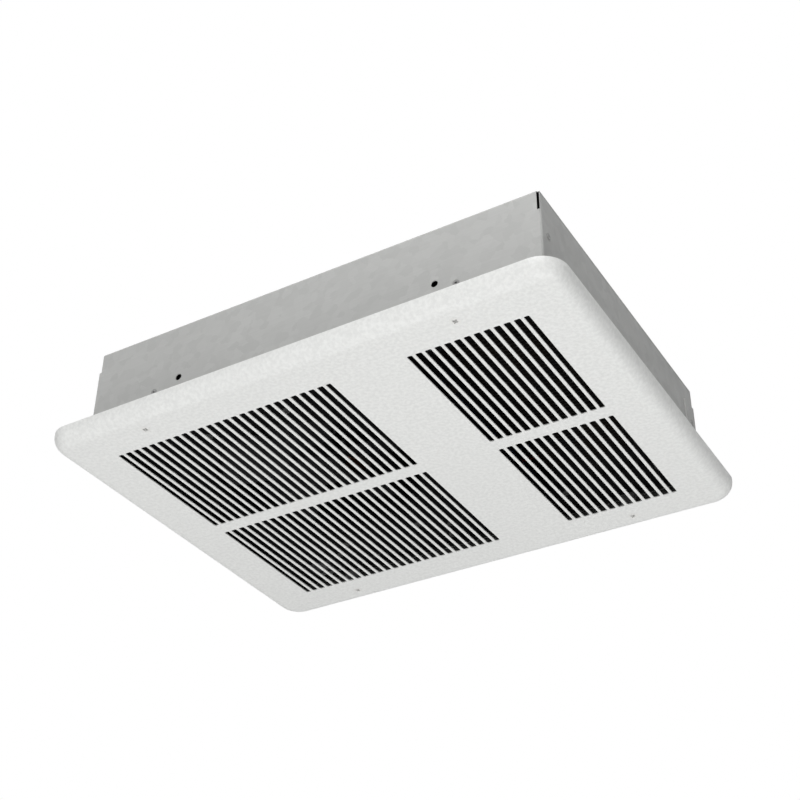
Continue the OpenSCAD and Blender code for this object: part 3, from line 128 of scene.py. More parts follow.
# %% The finish class
class Finish:
    """The material of one real surface finish."""

    def __init__(self, name):
        self.material = bpy.data.materials.new(name)
        self.material.use_nodes = True
        self.tree = self.material.node_tree
        self.tree.nodes.clear()
        self.shader = self.tree.nodes.new("ShaderNodeBsdfPrincipled")
        output = self.tree.nodes.new("ShaderNodeOutputMaterial")
        self.tree.links.new(self.shader.outputs[0], output.inputs[0])
        self.place = self.node("ShaderNodeTexCoord", out="Object")

    def node(self, kind, settings=None, sockets=None, out=0):
        made = self.tree.nodes.new(kind)
        for name, value in (settings or {}).items():
            setattr(made, name, value)
        for key, value in (sockets or {}).items():
            self.feed(made.inputs[key], value)
        return Value(self, made.outputs[out])

    def feed(self, socket, value):
        if isinstance(value, Value):
            self.tree.links.new(value.socket, socket)
        else:
            socket.default_value = value

    def stretched(self, x, y, z):
        return self.node("ShaderNodeMapping", sockets={"Vector": self.place, "Scale": (x, y, z)})

    def noise(self, size, detail, place=None):
        return self.node("ShaderNodeTexNoise",
                         sockets={"Vector": place or self.place, "Scale": 1 / size,
                                  "Detail": detail})

    def cells(self, size, out="Distance", place=None):
        return self.node("ShaderNodeTexVoronoi",
                         sockets={"Vector": place or self.place, "Scale": 1 / size}, out=out)

    def between(self, value, low, high):
        return self.node("ShaderNodeMapRange",
                         sockets={"Value": value, "From Min": low, "From Max": high})

    def mixed(self, amount, first, second):
        made = self.tree.nodes.new("ShaderNodeMix")
        made.data_type = "RGBA"
        self.feed(made.inputs[0], amount)
        for socket, colour in ((made.inputs[6], first), (made.inputs[7], second)):
            self.feed(socket, colour if isinstance(colour, Value) else (*colour, 1))
        return Value(self, made.outputs[2])

    def axis(self, name):
        return self.node("ShaderNodeSeparateXYZ", sockets={0: self.place}, out=name)

    def raised(self, height, depth):
        return self.node("ShaderNodeBump", sockets={"Height": height, "Distance": depth})

    def set(self, **sockets):
        for name, value in sockets.items():
            self.feed(self.shader.inputs[name.replace("_", " ")], value)
        return self.material


def shade(colour, amount):
    """The same colour, lighter or darker."""
    return tuple(min(1, part * amount) for part in colour)


print("a grey at half:", shade((0.8, 0.8, 0.8), 0.5))

# %% [markdown]
# ## Powder coat
# The panel is pressed steel under a white powder coat. Powder melts into a skin with a faint
# orange peel, about a millimetre across, and the sheen changes a little with it. A flat white
# would look like paper, so the peel goes into a very shallow bump, small mottles follow it in
# tone, and a slow drift keeps large areas from being one value. The deck inside has a matt
# black coat with hardly any sheen, so that the slots look as deep as they are.

# %% Powder coats
def powder_coat(name, colour, roughness, peel, sheen=0.5):
    coat = Finish(name)
    drift = coat.noise(0.16, 3)
    peel_height = coat.noise(0.0016, 1.5) + 0.5 * coat.noise(0.0042, 1)
    fleck = coat.between(coat.noise(0.0007, 1), 0.62, 0.78)
    mottle = coat.between(coat.noise(0.0034, 2), 0.36, 0.64)
    colour_now = coat.mixed(coat.between(drift, 0.3, 0.7), shade(colour, 0.975), colour)
    colour_now = coat.mixed(mottle * 0.8, colour_now, shade(colour, 0.88))
    colour_now = coat.mixed(fleck * 0.2, colour_now, shade(colour, 0.78))
    return coat.set(Base_Color=colour_now,
                    Roughness=roughness + 0.12 * (coat.noise(0.02, 2) - 0.5),
                    Specular_IOR_Level=sheen,
                    Normal=coat.raised(peel_height, peel))


finishes = {
    "powder_white": powder_coat("powder_white", (0.82, 0.826, 0.81), 0.44, 0.0003),
    "deck_black": powder_coat("deck_black", (0.004, 0.004, 0.0044), 0.8, 0.00005, 0.04),
    "ground_green": powder_coat("ground_green", (0.05, 0.26, 0.09), 0.4, 0.00003),
}
print("powder coats:", ", ".join(finishes))

# %% [markdown]
# ## Painted screw heads
# The four grille screws are painted like the panel. A screwdriver leaves small bright marks
# where paint has gone, so a mask made of fine noise mixes in bare metal. The middle of the
# recess is painted dark, as painted shade, and from below that shows as a small dark spot. It
# is drawn by the distance from the screw's axis, and the axes come from the screws' own box.

# %% Screw paint
screw_head_r = 0.0052
screws_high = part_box("grille_screws")[1]
screw_x = screws_high.x - screw_head_r
screw_y = screws_high.y - screw_head_r
recess_shade_outer_r = 0.0027
recess_shade_core_r = recess_shade_outer_r * 0.45


def screw_paint(name, colour):
    paint = Finish(name)
    worn = paint.between(paint.noise(0.0007, 3), 0.6, 0.68)
    across = abs(paint.axis("X")) - screw_x
    along = abs(paint.axis("Y")) - screw_y
    away = (across * across + along * along) ** 0.5
    # painted shade: darker towards the screw's axis, mixing in a near-black colour at half
    # strength
    recess_shade_mask = paint.between(away, recess_shade_outer_r, recess_shade_core_r)
    colour_now = paint.mixed(worn * 0.5, colour, (0.45, 0.45, 0.44))
    return paint.set(Base_Color=paint.mixed(recess_shade_mask * 0.5, colour_now, (0.07, 0.068, 0.065)),
                     Roughness=0.36 + 0.1 * worn,
                     Metallic=worn * 0.4,
                     Normal=paint.raised(paint.noise(0.0009, 2), 0.00003))


finishes["screw_white"] = screw_paint("screw_white", (0.78, 0.78, 0.76))
print("screw axes at x, y in mm:", round(screw_x * 1000, 2), round(screw_y * 1000, 2))

# %% [markdown]
# ## Galvanised sheet
# The box is folded from galvanised sheet. Zinc freezes on steel in flat crystals, the spangle,
# each with its own tone and sheen, and the rolling mill leaves long faint lines. Cells about
# 8 mm across give the spangle, and noise stretched along X gives the lines. Inside the box the
# colour is painted almost black, as painted shade, and a mask by place tells inside from
# outside. The undersides of the feet, behind the panel's rim, get the same painted shade, so all
# that lies lower than `foot_z` is dark as well. The inner sheets are painted almost black all
# over, as painted shade.

# %% Galvanised sheet
inside_x, inside_y, inside_z = 0.24305, 0.17705, 0.1195
foot_z = 0.0158
box_spangle, inner_spangle = 0.0085, 0.007
wobble_scale, wobble_reach = 220.0, 0.004


def galvanised_sheet(name, colour, spangle, sheen, inside_painted_shade=False):
    zinc = Finish(name)
    wobble = zinc.node("ShaderNodeVectorMath", {"operation": "MULTIPLY_ADD"},
                       {0: zinc.node("ShaderNodeTexNoise",
                                     sockets={"Vector": zinc.place, "Scale": wobble_scale},
                                     out="Color"),
                        1: (wobble_reach, wobble_reach, wobble_reach), 2: zinc.place})
    crystal = zinc.cells(spangle, out="Color", place=wobble)
    tone = zinc.node("ShaderNodeSeparateColor", sockets={0: crystal}, out="Red")
    gloss = zinc.node("ShaderNodeSeparateColor", sockets={0: crystal}, out="Green")
    lines = zinc.noise(0.0016, 2, zinc.stretched(0.03, 1, 1))
    cloud = zinc.noise(0.09, 3)
    colour_now = zinc.mixed(tone, shade(colour, 0.95), shade(colour, 1.05))
    colour_now = zinc.mixed(zinc.between(lines, 0.3, 0.7) * 0.25, colour_now,
                            shade(colour, 0.86))
    colour_now = zinc.mixed(zinc.between(cloud, 0.35, 0.75) * 0.3, colour_now,
                            shade(colour, 0.88))
    metal = 0.05
    # painted shade: inside the box and below foot_z the colour is nearly black
    if inside_painted_shade:
        within = ((abs(zinc.axis("X")) < inside_x) * (abs(zinc.axis("Y")) < inside_y)
                  * (zinc.axis("Z") < inside_z))
        shade_mask = within.maths("MAXIMUM", within, zinc.axis("Z") < foot_z)
        colour_now = zinc.mixed(shade_mask, colour_now, shade(colour, 0.04))
        metal = metal - metal * shade_mask
    return zinc.set(Base_Color=colour_now,
                    Roughness=0.44 + 0.14 * gloss,
                    Metallic=metal,
                    Specular_IOR_Level=sheen,
                    Normal=zinc.raised(tone * 0.6 + lines * 0.4, 0.00003))


finishes["box_galvanised"] = galvanised_sheet("box_galvanised", (0.495, 0.498, 0.488),
                                              box_spangle, 0.1, inside_painted_shade=True)
# painted shade: the inner sheets' zinc gets an almost black colour
finishes["galvanised"] = galvanised_sheet("galvanised", (0.022, 0.022, 0.022),
                                          inner_spangle, 0.06)
print("spangle of the box and of the inner sheets, in mm:",
      box_spangle * 1000, inner_spangle * 1000)

# %% [markdown]
# ## Plated and ground steel
# Screws, rivets, nuts and brackets are zinc plated, which is brighter and finer than hot dipped
# zinc. The motor shaft, the wheel's set screw and the studs are ground bright. Tabs and terminal
# screws are brass, and the sleeve bearings bronze. One function serves them all: the colour,
# the grain's size, the stains and the sheen differ. The screws behind the slots are painted
# almost black, as painted shade, and the rivets in the walls have dulled, so those hardly
# reflect anything. The rivets in the corner laps are a little paler than those of the grille
# brackets.

# %% Plated steel
def plated(name, colour, roughness, grain, stain=0.25, metallic=0.85, sheen=0.5):
    plate = Finish(name)
    clouds = plate.between(plate.noise(grain * 9, 3), 0.35, 0.7)
    marks = plate.noise(grain, 3)
    colour_now = plate.mixed(clouds * stain, colour, shade(colour, 0.6))
    colour_now = plate.mixed(plate.between(marks, 0.55, 0.75) * 0.3, colour_now,
                             shade(colour, 1.25))
    return plate.set(Base_Color=colour_now,
                     Roughness=roughness + 0.16 * (marks - 0.5),
                     Metallic=metallic,
                     Specular_IOR_Level=sheen,
                     Normal=plate.raised(marks, grain * 0.05))


finishes.update({
    "zinc_plated": plated("zinc_plated", (0.42, 0.425, 0.43), 0.38, 0.0008),
    # painted shade: the screws behind the slots get an almost black zinc colour
    "zinc_painted_shade": plated("zinc_painted_shade", (0.05, 0.05, 0.049), 0.7, 0.0008, 0.5, 0.1, 0.15),
    "rivet_dull": plated("rivet_dull", (0.34, 0.34, 0.335), 0.62, 0.0008, 0.4, 0.1, 0.15),
    "rivet_plain": plated("rivet_plain", (0.4, 0.4, 0.394), 0.55, 0.0008, 0.3, 0.1, 0.15),
    "shaft_steel": plated("shaft_steel", (0.40, 0.40, 0.41), 0.26, 0.0004),
    "brass_plain": plated("brass_plain", (0.55, 0.40, 0.16), 0.33, 0.0006),
    "bearing_bronze": plated("bearing_bronze", (0.42, 0.27, 0.11), 0.42, 0.0005, 0.5),
})
print("finishes so far:", len(finishes))

# %% [markdown]
# ## Steel that has been hot
# The element's sheath and its fins work at a dull heat. Their plating turns straw, brown and
# blue, then goes dark grey. Two clouds of different size choose between those tints.

# %% Heat tint
def heat_tinted(name, grey, straw, blue, metallic):
    steel = Finish(name)
    first = steel.between(steel.noise(0.024, 3), 0.42, 0.62)
    second = steel.between(steel.noise(0.011, 3), 0.5, 0.68)
    scale = steel.noise(0.0009, 3)
    colour_now = steel.mixed(first * 0.6, grey, straw)
    colour_now = steel.mixed(second * 0.5, colour_now, blue)
    return steel.set(Base_Color=colour_now,
                     Roughness=0.48 + 0.2 * (scale - 0.5),
                     Metallic=metallic,
                     Normal=steel.raised(scale, 0.00003))


finishes.update({
    "sheath_steel": heat_tinted("sheath_steel", (0.025, 0.024, 0.023), (0.05, 0.034, 0.022),
                                (0.02, 0.022, 0.03), 0.3),
    "fin_steel": heat_tinted("fin_steel", (0.014, 0.0135, 0.013), (0.024, 0.018, 0.012),
                             (0.01, 0.011, 0.015), 0.2),
})
print("finishes with the heat tints:", len(finishes))

# %% [markdown]
# ## Laminations
# The stator and the rotor core are stacks of steel sheets half a millimetre thick. Their edges
# show as fine level lines round the sides. A sine of the height draws them, and the same sine
# gives the bump, so line and groove agree. Varnish fills some of the lines unevenly.

# %% Laminated steel
sheet_pitch = 0.0005


def laminated(name, colour):
    stack = Finish(name)
    wave = (stack.axis("Z") * (2 * math.pi / sheet_pitch)).sine()
    varnish = stack.between(stack.noise(0.006, 3), 0.4, 0.65)
    gap = stack.between(wave, 0.3, 1.0) * (1 - varnish * 0.6)
    colour_now = stack.mixed(gap * 0.7, colour, shade(colour, 0.35))
    colour_now = stack.mixed(varnish * 0.5, colour_now, (0.05, 0.028, 0.014))
    return stack.set(Base_Color=colour_now,
                     Roughness=0.5 - 0.18 * varnish,
                     Metallic=0.6 - 0.4 * varnish,
                     Normal=stack.raised(1 - gap, 0.00004))


finishes["lamination_steel"] = laminated("lamination_steel", (0.16, 0.165, 0.17))
print("one lamination, in mm:", sheet_pitch * 1000)

# %% [markdown]
# ## Enamelled copper
# The coil's wire has clear enamel over copper, which deepens the colour and adds a wet sheen.
# The shader's coat is that enamel. The turns themselves are modelled further on.

# %% Enamelled copper
def enamelled(name, colour):
    wire = Finish(name)
    age = wire.between(wire.noise(0.012, 3), 0.35, 0.7)
    scuff = wire.noise(0.0006, 3)
    return wire.set(Base_Color=wire.mixed(age * 0.6, colour, shade(colour, 0.5)),
                    Roughness=0.3 + 0.14 * (scuff - 0.5),
                    Metallic=0.9,
                    Coat_Weight=0.5,
                    Normal=wire.raised(scuff, 0.00001))


finishes["copper_wire"] = enamelled("copper_wire", (0.36, 0.13, 0.06))
print("enamel nodes:", len(finishes["copper_wire"].node_tree.nodes))

# %% [markdown]
# ## Moulded plastics
# The fan, bobbin, lead bushings, terminal block, disconnect switch, limit, delay switch and
# button are mouldings. A mould leaves a fine spark-eroded grain, and filled plastics show faint
# flow streaks. Grain size, streak strength and sheen are what tell one plastic from another, so
# they are the function's parameters.

# %% Plastics
def moulded(name, colour, roughness, grain, streaks, lift=1.35, sheen=0.5):
    part = Finish(name)
    flow = part.between(part.noise(0.014, 4, part.stretched(1, 2.6, 1)), 0.38, 0.7)
    pits = part.noise(grain, 2)
    speck = part.between(part.noise(grain * 0.6, 1), 0.66, 0.74)
    colour_now = part.mixed(flow * streaks, colour, shade(colour, lift))
    colour_now = part.mixed(speck * 0.25, colour_now, shade(colour, 0.6))
    return part.set(Base_Color=colour_now,
                    Roughness=roughness + 0.12 * (pits - 0.5),
                    Specular_IOR_Level=sheen,
                    Normal=part.raised(pits, grain * 0.06))


finishes.update({
    "fan_black": moulded("fan_black", (0.007, 0.007, 0.008), 0.62, 0.0006, 0.5, sheen=0.12),
    "bobbin_nylon": moulded("bobbin_nylon", (0.05, 0.045, 0.04), 0.42, 0.0005, 0.4),
    "bushing_nylon": moulded("bushing_nylon", (0.02, 0.02, 0.021), 0.38, 0.0004, 0.2),
    "terminal_phenolic": moulded("terminal_phenolic", (0.50, 0.45, 0.34), 0.5, 0.0007, 0.35,
                                 1.12),
    "switch_black": moulded("switch_black", (0.016, 0.016, 0.018), 0.3, 0.0004, 0.15),
    "limit_phenolic": moulded("limit_phenolic", (0.03, 0.024, 0.02), 0.44, 0.0006, 0.4),
    "button_red": moulded("button_red", (0.45, 0.03, 0.022), 0.36, 0.0004, 0.2, 1.15),
})
print("finishes with the plastics:", len(finishes))

# %% [markdown]
# ## Rubber, foam and lead insulation
# Rubber grommets are matt with a grey bloom. The seal is closed-cell foam, whose skin is full
# of small pits: cell patterns give those. Lead insulation is smooth and slightly glossy, with a
# faint wave where it was drawn through the die.

# %% Soft materials
def rubbery(name, colour):
    rubber = Finish(name)
    bloom = rubber.between(rubber.noise(0.005, 4), 0.5, 0.75)
    return rubber.set(Base_Color=rubber.mixed(bloom * 0.4, colour, (0.07, 0.07, 0.068)),
                      Roughness=0.75 - 0.1 * bloom,
                      Normal=rubber.raised(rubber.noise(0.0006, 3), 0.00004))


pore_pitch, pore_r = 0.0011, 0.00055


def foam(name, colour):
    skin = Finish(name)
    pores = skin.between(skin.cells(pore_pitch), 0.0, pore_r / pore_pitch)
    coarse = skin.noise(0.006, 3)
    # painted shade: the pits are painted darker than the skin around them
    return skin.set(Base_Color=skin.mixed(pores, shade(colour, 0.4), colour),
                    Roughness=0.88 + 0.08 * (coarse - 0.5),
                    Specular_IOR_Level=0.1,
                    Normal=skin.raised(pores + 0.5 * coarse, 0.0004))


def insulation(name, colour):
    sleeve = Finish(name)
    drawn = sleeve.noise(0.004, 2)
    return sleeve.set(Base_Color=sleeve.mixed(sleeve.between(drawn, 0.35, 0.7) * 0.4, colour,
                                              shade(colour, 0.65)),
                      Roughness=0.34 + 0.14 * (sleeve.noise(0.0012, 3) - 0.5),
                      Normal=sleeve.raised(drawn, 0.00006))


finishes.update({
    "grommet_rubber": rubbery("grommet_rubber", (0.016, 0.016, 0.017)),
    "seal_foam": foam("seal_foam", (0.02, 0.02, 0.021)),
    "lead_black": insulation("lead_black", (0.018, 0.018, 0.02)),
    "lead_red": insulation("lead_red", (0.20, 0.028, 0.02)),
    "lead_blue": insulation("lead_blue", (0.03, 0.06, 0.19)),
})
print("finishes with rubber, foam and leads:", len(finishes))

# %% [markdown]
# ## Ceramic
# The small insulators round the element's studs are unglazed ceramic: cream, matt, with fine
# dark specks from the clay and slightly browned patches from the heat.

# %% Ceramic
def fired_clay(name, colour):
    clay = Finish(name)
    specks = clay.between(clay.noise(0.0004, 2), 0.64, 0.72)
    browned = clay.between(clay.noise(0.004, 3), 0.45, 0.7)
    colour_now = clay.mixed(browned * 0.35, colour, (0.42, 0.30, 0.18))
    return clay.set(Base_Color=clay.mixed(specks * 0.5, colour_now, (0.2, 0.16, 0.12)),
                    Roughness=0.68 + 0.1 * browned,
                    Normal=clay.raised(clay.noise(0.0005, 3), 0.00004))


finishes["ceramic_cream"] = fired_clay("ceramic_cream", (0.66, 0.60, 0.49))
print("all finishes:", len(finishes))

# %% [markdown]
# ## Dressing the solids
# The record names a material slot for every node. Each node's object gets the finish of its
# slot, in place of the plain one that it came with. A few nodes have a finish of their own: the
# box and the feet of its walls, which are seen from outside and inside and are painted dark
# inside as painted shade, the rivets in the walls and the screws behind the slots, painted
# almost black as painted shade.

# %% Give each node its finish
slot_of = {part["node"]: part["material_slot"] for part in frame["record"]["subparts"]}
own_finish = {"back_box": "box_galvanised", "ceiling_flanges": "box_galvanised",
              "bracket_rivets": "rivet_dull", "corner_rivets": "rivet_plain",
              "deck_screws": "zinc_painted_shade", "chassis_screws": "zinc_painted_shade"}
for name, piece in nodes.items():
    finish = finishes[own_finish.get(name, slot_of[name])]
    if not piece.material_slots:
        piece.data.materials.append(finish)
    for slot in piece.material_slots:
        slot.material = finish
print("dressed nodes:", len(nodes), "with", len(finishes), "finishes")

# %% [markdown]
# ## Helpers for modelling
# Operators act on what is selected, and the frame arrives with its solids selected, so each
# piece starts by clearing the selection. Edges are picked in code by how sharp they are, and
# faces by which way they look.
# A new piece takes the finish of a slot, rides on a body and may stand for a solid.

# %% Select, pick and hand over
def only(piece):
    bpy.ops.object.select_all(action="DESELECT")
    piece.select_set(True)
    bpy.context.view_layer.objects.active = piece


def choose_by(kind):
    """Choose by VERT, EDGE or FACE from here on, with nothing chosen yet."""
    bpy.ops.mesh.select_mode(type=kind)
    bpy.ops.mesh.select_all(action="DESELECT")


def open_mesh(piece, kind):
    only(piece)
    bpy.ops.object.mode_set(mode="EDIT")
    choose_by(kind)


def pick_faces(piece, test):
    """Select the faces that pass a test."""
    mesh = bmesh.from_edit_mesh(piece.data)
    for face in mesh.faces:
        if test(face):
            face.select_set(True)
    bmesh.update_edit_mesh(piece.data)


def close_mesh():
    bpy.ops.object.mode_set(mode="OBJECT")


def apply_all(piece):
    only(piece)
    for modifier in list(piece.modifiers):
        bpy.ops.object.modifier_apply(modifier=modifier.name)


def hand_over(piece, slot, body, *stands_for):
    piece.data.materials.clear()
    piece.data.materials.append(finishes[slot])
    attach(piece, body)
    if stands_for:
        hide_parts(*stands_for)
    print(piece.name, "faces:", len(piece.data.polygons))


print("solids to start from:", len(nodes))

# %% [markdown]
# ## Soft edges on mouldings and pressings
# A solid's edges are perfectly sharp, and no real edge is: powder fills a punched corner, and a
# mould has small rounds. A softened piece is a copy of the solid's mesh. Its points are merged
# first, since the solid's faces come apart at sharp edges, and flat triangles are joined up so
# that the bevel has clean faces to work on. Smooth shading would bend the light on the large
# flat faces next to a small round, so their normals are weighted by area, which keeps them flat.

# %% Soften a solid's edges
body_of = {node: body for body, members in frame["record"]["behaviour"]["bodies"].items()
           for node in members}
merge_within = 0.000002
flat_within = math.radians(0.5)
sharp_from = math.radians(35)


def softened(name, node, radius):
    piece = bpy.data.objects.new(name, nodes[node].data.copy())
    bpy.context.collection.objects.link(piece)
    only(piece)
    bpy.ops.mesh.customdata_custom_splitnormals_clear()
    open_mesh(piece, "EDGE")
    bpy.ops.mesh.select_all(action="SELECT")
    bpy.ops.mesh.remove_doubles(threshold=merge_within)
    bpy.ops.mesh.dissolve_limited(angle_limit=flat_within)
    bpy.ops.mesh.select_all(action="DESELECT")
    bpy.ops.mesh.edges_select_sharp(sharpness=sharp_from)
    bpy.ops.mesh.bevel(offset=radius, segments=2, clamp_overlap=True)
    close_mesh()
    bpy.ops.object.shade_smooth_by_angle(angle=math.radians(32))
    level = piece.modifiers.new("level", "WEIGHTED_NORMAL")
    level.weight = 100
    level.keep_sharp = True
    apply_all(piece)
    hand_over(piece, slot_of[node], body_of[node], node)


print("nodes with a body:", len(body_of))

# %% [markdown]
# ## The pieces whose edges are softened
# The panel's punched edges get a round of about a tenth of a millimetre, as a powder coat gives.
# The mouldings get rounds of three to five tenths. Each softened copy stands for its solid.

# %% The pressed panel, the fan and the mouldings
softened("pressed_panel", "front_panel", 0.00012)
softened("moulded_fan", "fan_wheel", 0.0004)
softened("moulded_bobbin", "coil_bobbin", 0.0003)
softened("moulded_terminal_block", "terminal_block", 0.0003)
softened("moulded_rocker", "switch_rocker", 0.0005)
softened("moulded_limit", "limit_body", 0.0003)

# %% [markdown]
# ## The coil's turns
# A solid block stands for the winding in the frame. The real one is enamelled wire in level
# layers, and what shows is the outer layer, turn beside turn. One turn is a flat rectangle with
# rounded corners, turned into a curve so that it can be given the wire's thickness.

# %% One turn of wire
wire_r = 0.00035
turn_corner_r = 0.0035
coil_low, coil_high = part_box("coil_winding")
coil_middle = (coil_low + coil_high) / 2
bpy.ops.object.select_all(action="DESELECT")
bpy.ops.mesh.primitive_plane_add(size=1, rotation=(0, math.pi / 2, 0),
                                 location=(coil_low.x + wire_r, coil_middle.y, coil_middle.z))
winding = bpy.context.object
winding.name = "wound_turns"
bpy.ops.object.mode_set(mode="EDIT")
bpy.ops.mesh.select_all(action="SELECT")
bpy.ops.transform.resize(value=(1, coil_high.y - coil_low.y - 2 * wire_r,
                                coil_high.z - coil_low.z - 2 * wire_r))
bpy.ops.mesh.bevel(offset=turn_corner_r, segments=5, affect="VERTICES")
bpy.ops.mesh.delete(type="ONLY_FACE")
close_mesh()
bpy.ops.object.transform_apply(location=True, rotation=True, scale=True)
bpy.ops.object.convert(target="CURVE")
winding.data.bevel_depth = wire_r
winding.data.bevel_resolution = 1
bpy.ops.object.convert(target="MESH")
print("one turn:", len(winding.data.polygons), "faces")

# %% [markdown]
# ## The outer layer
# All the turns are alike, so modelling one is enough: an array repeats it along the coil, as
# often as the wire fits. A wound coil is never perfect, so its points are shifted by a few
# hundredths of a millimetre. The seed makes the shift the same on each run.

# %% Lay the turns side by side
turn_shift = 0.00004
turn_count = int((coil_high.x - coil_low.x) / (2 * wire_r))
turn_array = winding.modifiers.new("turns", "ARRAY")
turn_array.use_relative_offset = False
turn_array.use_constant_offset = True
turn_array.constant_offset_displace = ((coil_high.x - coil_low.x - 2 * wire_r)
                                       / (turn_count - 1), 0, 0)
turn_array.count = turn_count
apply_all(winding)
open_mesh(winding, "VERT")
bpy.ops.mesh.select_all(action="SELECT")
bpy.ops.mesh.normals_make_consistent(inside=False)
bpy.ops.transform.vertex_random(offset=turn_shift, seed=4)
close_mesh()
bpy.ops.object.shade_smooth()
hand_over(winding, "copper_wire", body_of["coil_winding"], "coil_winding")

# %% [markdown]
# ## Sleeves on the tabs
# A lead ends in a push-on terminal inside a nylon sleeve: a flat rounded box with a short neck
# where the wire goes in. It is modelled once, standing on the origin. A sleeve's box is a cube
# pulled to size. Insetting the top face and pulling it up makes the neck.

# %% One sleeve
tab_w, tab_t = 0.0063, 0.0008
sleeve_w, sleeve_t, sleeve_l = tab_w + 0.0012, 0.0028, 0.0072
neck_inset, neck_share, neck_l = 0.0006, 0.62, 0.0015
sleeve_edge_r = 0.0005


def sleeve_blank():
    bpy.ops.object.select_all(action="DESELECT")
    bpy.ops.mesh.primitive_cube_add(size=1, location=(0, 0, sleeve_l / 2))
    blank = bpy.context.object
    bpy.ops.object.mode_set(mode="EDIT")
    bpy.ops.mesh.select_all(action="SELECT")
    bpy.ops.transform.resize(value=(sleeve_t, sleeve_w, sleeve_l))
    choose_by("FACE")
    pick_faces(blank, lambda face: face.normal.z > 0.9)
    bpy.ops.mesh.inset(thickness=neck_inset)
    bpy.ops.transform.resize(value=(1, neck_share, 1))
    bpy.ops.mesh.extrude_region_move(TRANSFORM_OT_translate={"value": (0, 0, neck_l)})
    choose_by("EDGE")
    bpy.ops.mesh.edges_select_sharp(sharpness=sharp_from)
    bpy.ops.mesh.bevel(offset=sleeve_edge_r, segments=3, clamp_overlap=True)
    close_mesh()
    bpy.ops.object.transform_apply(location=True, rotation=True, scale=True)
    bpy.ops.object.shade_smooth_by_angle(angle=math.radians(40))
    return blank


blank = sleeve_blank()
print("sleeve with its neck, in mm:", [round(side * 1000, 2) for side in blank.dimensions])

# %% [markdown]
# ## A sleeve for each lead
# The tabs of a switch are one node, so a tab is found as a corner of the node's box, half a tab
# inwards. The sleeve starts a little above the tab's lowest point. Each copy has its own mesh,
# and its place goes into that mesh, because every piece's object sits at the origin.

# %% Put a sleeve on each tab that has a lead
half_tab_w, half_tab_t = tab_w / 2, tab_t / 2
sleeve_seat = 0.0003
tab_corners = {
    "switch_sleeve_near": ("switch_tabs", True, False),
    "switch_sleeve_far": ("switch_tabs", False, True),
    "limit_sleeve_left": ("limit_tabs", False, False),
    "limit_sleeve_right": ("limit_tabs", True, False),
}


def tab_end(node, right, far):
    """Where a sleeve stands on the tab at one corner of a node's box."""
    lowest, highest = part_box(node)
    corner = Vector((highest.x if right else lowest.x, highest.y if far else lowest.y,
                     lowest.z))
    inwards = Vector((-half_tab_t if right else half_tab_t,
                      -half_tab_w if far else half_tab_w, sleeve_seat))
    return corner + inwards


for name, (node, right, far) in tab_corners.items():
    sleeve = bpy.data.objects.new(name, blank.data.copy())
    bpy.context.collection.objects.link(sleeve)
    only(sleeve)
    bpy.ops.transform.translate(value=tab_end(node, right, far))
    bpy.ops.object.transform_apply(location=True, rotation=False, scale=False)
    hand_over(sleeve, "bushing_nylon", "chassis")
bpy.data.objects.remove(blank)

# %% [markdown]
# ## The light
# The photograph has soft light from below and in front: the panel is the brightest face, the
# near wall a step darker, the end wall darker again, and nothing casts a hard shadow. A wide
# softbox high overhead lights the pale floor, which sends an even light back up, and a large
# one under the panel adds to it. One under the end with the outlet keeps the rolled edge there
# nearly as bright as the face, and a low one in front does the same for the near edge. Two
# smaller ones, in front of the near wall and off the near corner, stand higher than the panel,
# so that they light the walls and hardly touch the rolled edge. The world is white to the
# camera and in reflections, so the background is white without extra light on the heater.

# %% The world
world = bpy.data.worlds.new("studio")
bpy.context.scene.world = world
world.use_nodes = True
wires = world.node_tree
wires.nodes.clear()
fill_strength = 0.04


def either(first, second):
    """1 where at least one of two sockets is 1."""
    larger = wires.nodes.new("ShaderNodeMath")
    larger.operation = "MAXIMUM"
    wires.links.new(first, larger.inputs[0])
    wires.links.new(second, larger.inputs[1])
    return larger.outputs[0]


def glow(colour, strength):
    background = wires.nodes.new("ShaderNodeBackground")
    background.inputs["Color"].default_value = (*colour, 1)
    background.inputs["Strength"].default_value = strength
    return background.outputs[0]


rays = wires.nodes.new("ShaderNodeLightPath").outputs
blend = wires.nodes.new("ShaderNodeMixShader")
wires.links.new(either(rays["Is Camera Ray"],
                       either(rays["Is Glossy Ray"], rays["Is Transmission Ray"])),
                blend.inputs[0])
wires.links.new(glow((0.96, 0.98, 1.0), fill_strength), blend.inputs[1])
wires.links.new(glow((1, 1, 1), 1.0), blend.inputs[2])
world_output = wires.nodes.new("ShaderNodeOutputWorld")
wires.links.new(blend.outputs[0], world_output.inputs[0])
print("world nodes:", len(wires.nodes), "fill:", fill_strength)

# %% The softboxes
aim_at = Vector((0, 0, 0.05))


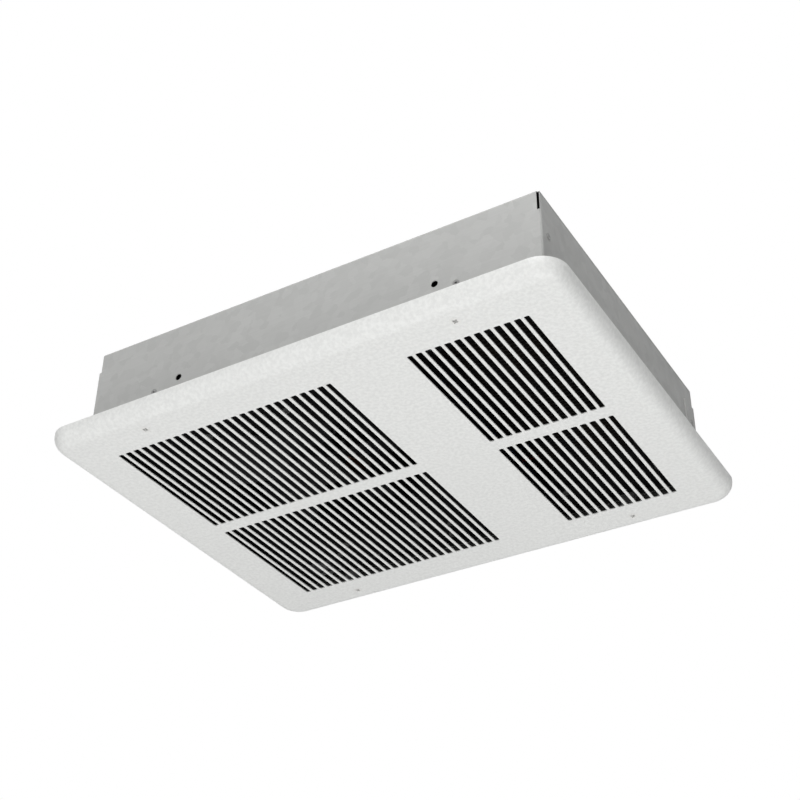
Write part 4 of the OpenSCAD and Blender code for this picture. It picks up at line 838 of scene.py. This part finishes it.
def softbox(name, place, size, power):
    lamp = bpy.data.lights.new(name, "AREA")
    lamp.shape = "SQUARE"
    lamp.size = size
    lamp.energy = power
    stand = bpy.data.objects.new(name, lamp)
    bpy.context.collection.objects.link(stand)
    stand.location = place
    aim = aim_at - Vector(place)
    stand.rotation_euler = aim.to_track_quat("-Z", "Y").to_euler()
    print(name, "at", place, "power", power)


softbox("overhead", (0, 0, 5), 5, 200)
softbox("under_panel", (-0.3, -0.7, -1.7), 1.8, 15)
softbox("under_end", (1.0, -0.3, -1.5), 1.2, 13)
softbox("near_low", (-0.6, -1.5, -0.6), 1.0, 3.5)
softbox("near_side", (0.4, -1.5, 0.9), 0.9, 15.5)
softbox("near_corner", (0.9, -0.9, 0.6), 0.7, 2.5)

# %% [markdown]
# ## The floor
# A ceiling heater hangs high above its floor, so the floor is a wide pale plane far below. It is
# a little uneven in tone, keeps the heater's soft shadow, and sends some light back up.

# %% The floor
floor_z, floor_side = -2.2, 14
bpy.ops.object.select_all(action="DESELECT")
bpy.ops.mesh.primitive_plane_add(size=floor_side, location=(0, 0, floor_z))
floor = bpy.context.object
floor.name = "floor"
bpy.ops.object.transform_apply(location=True, rotation=False, scale=False)
pale = Finish("pale_floor")
floor.data.materials.append(pale.set(
    Base_Color=pale.mixed(pale.noise(0.9, 3), (0.84, 0.84, 0.84), (0.88, 0.88, 0.88)),
    Roughness=0.9))
print("floor at", floor_z, "side", floor_side)

# %% [markdown]
# ## The camera
# The photograph was solved for its camera: it looks up at the heater from the near right, from
# about 1.4 m. The camera's axes are given as rows, right, up and back, and its lens as the focal
# length that a 36 mm frame would need.

# %% The camera
camera_data = bpy.data.cameras.new("photo_view")
camera_data.sensor_width = 36
camera_data.lens = 66.265
camera_data.clip_end = 60
camera = bpy.data.objects.new("photo_view", camera_data)
bpy.context.collection.objects.link(camera)
camera_place = (0.63067, -1.04714, -0.75488)
right = Vector((0.859824, 0.510497, 0.009788))
back = Vector((0.424983, -0.704906, -0.567888))
up = back.cross(right)
camera.matrix_world = (Matrix.Translation(camera_place)
                       @ Matrix((right, up, back)).transposed().to_4x4())
bpy.context.scene.camera = camera
bpy.context.scene.view_settings.view_transform = "Standard"
print("camera distance:", round(camera.location.length, 3))
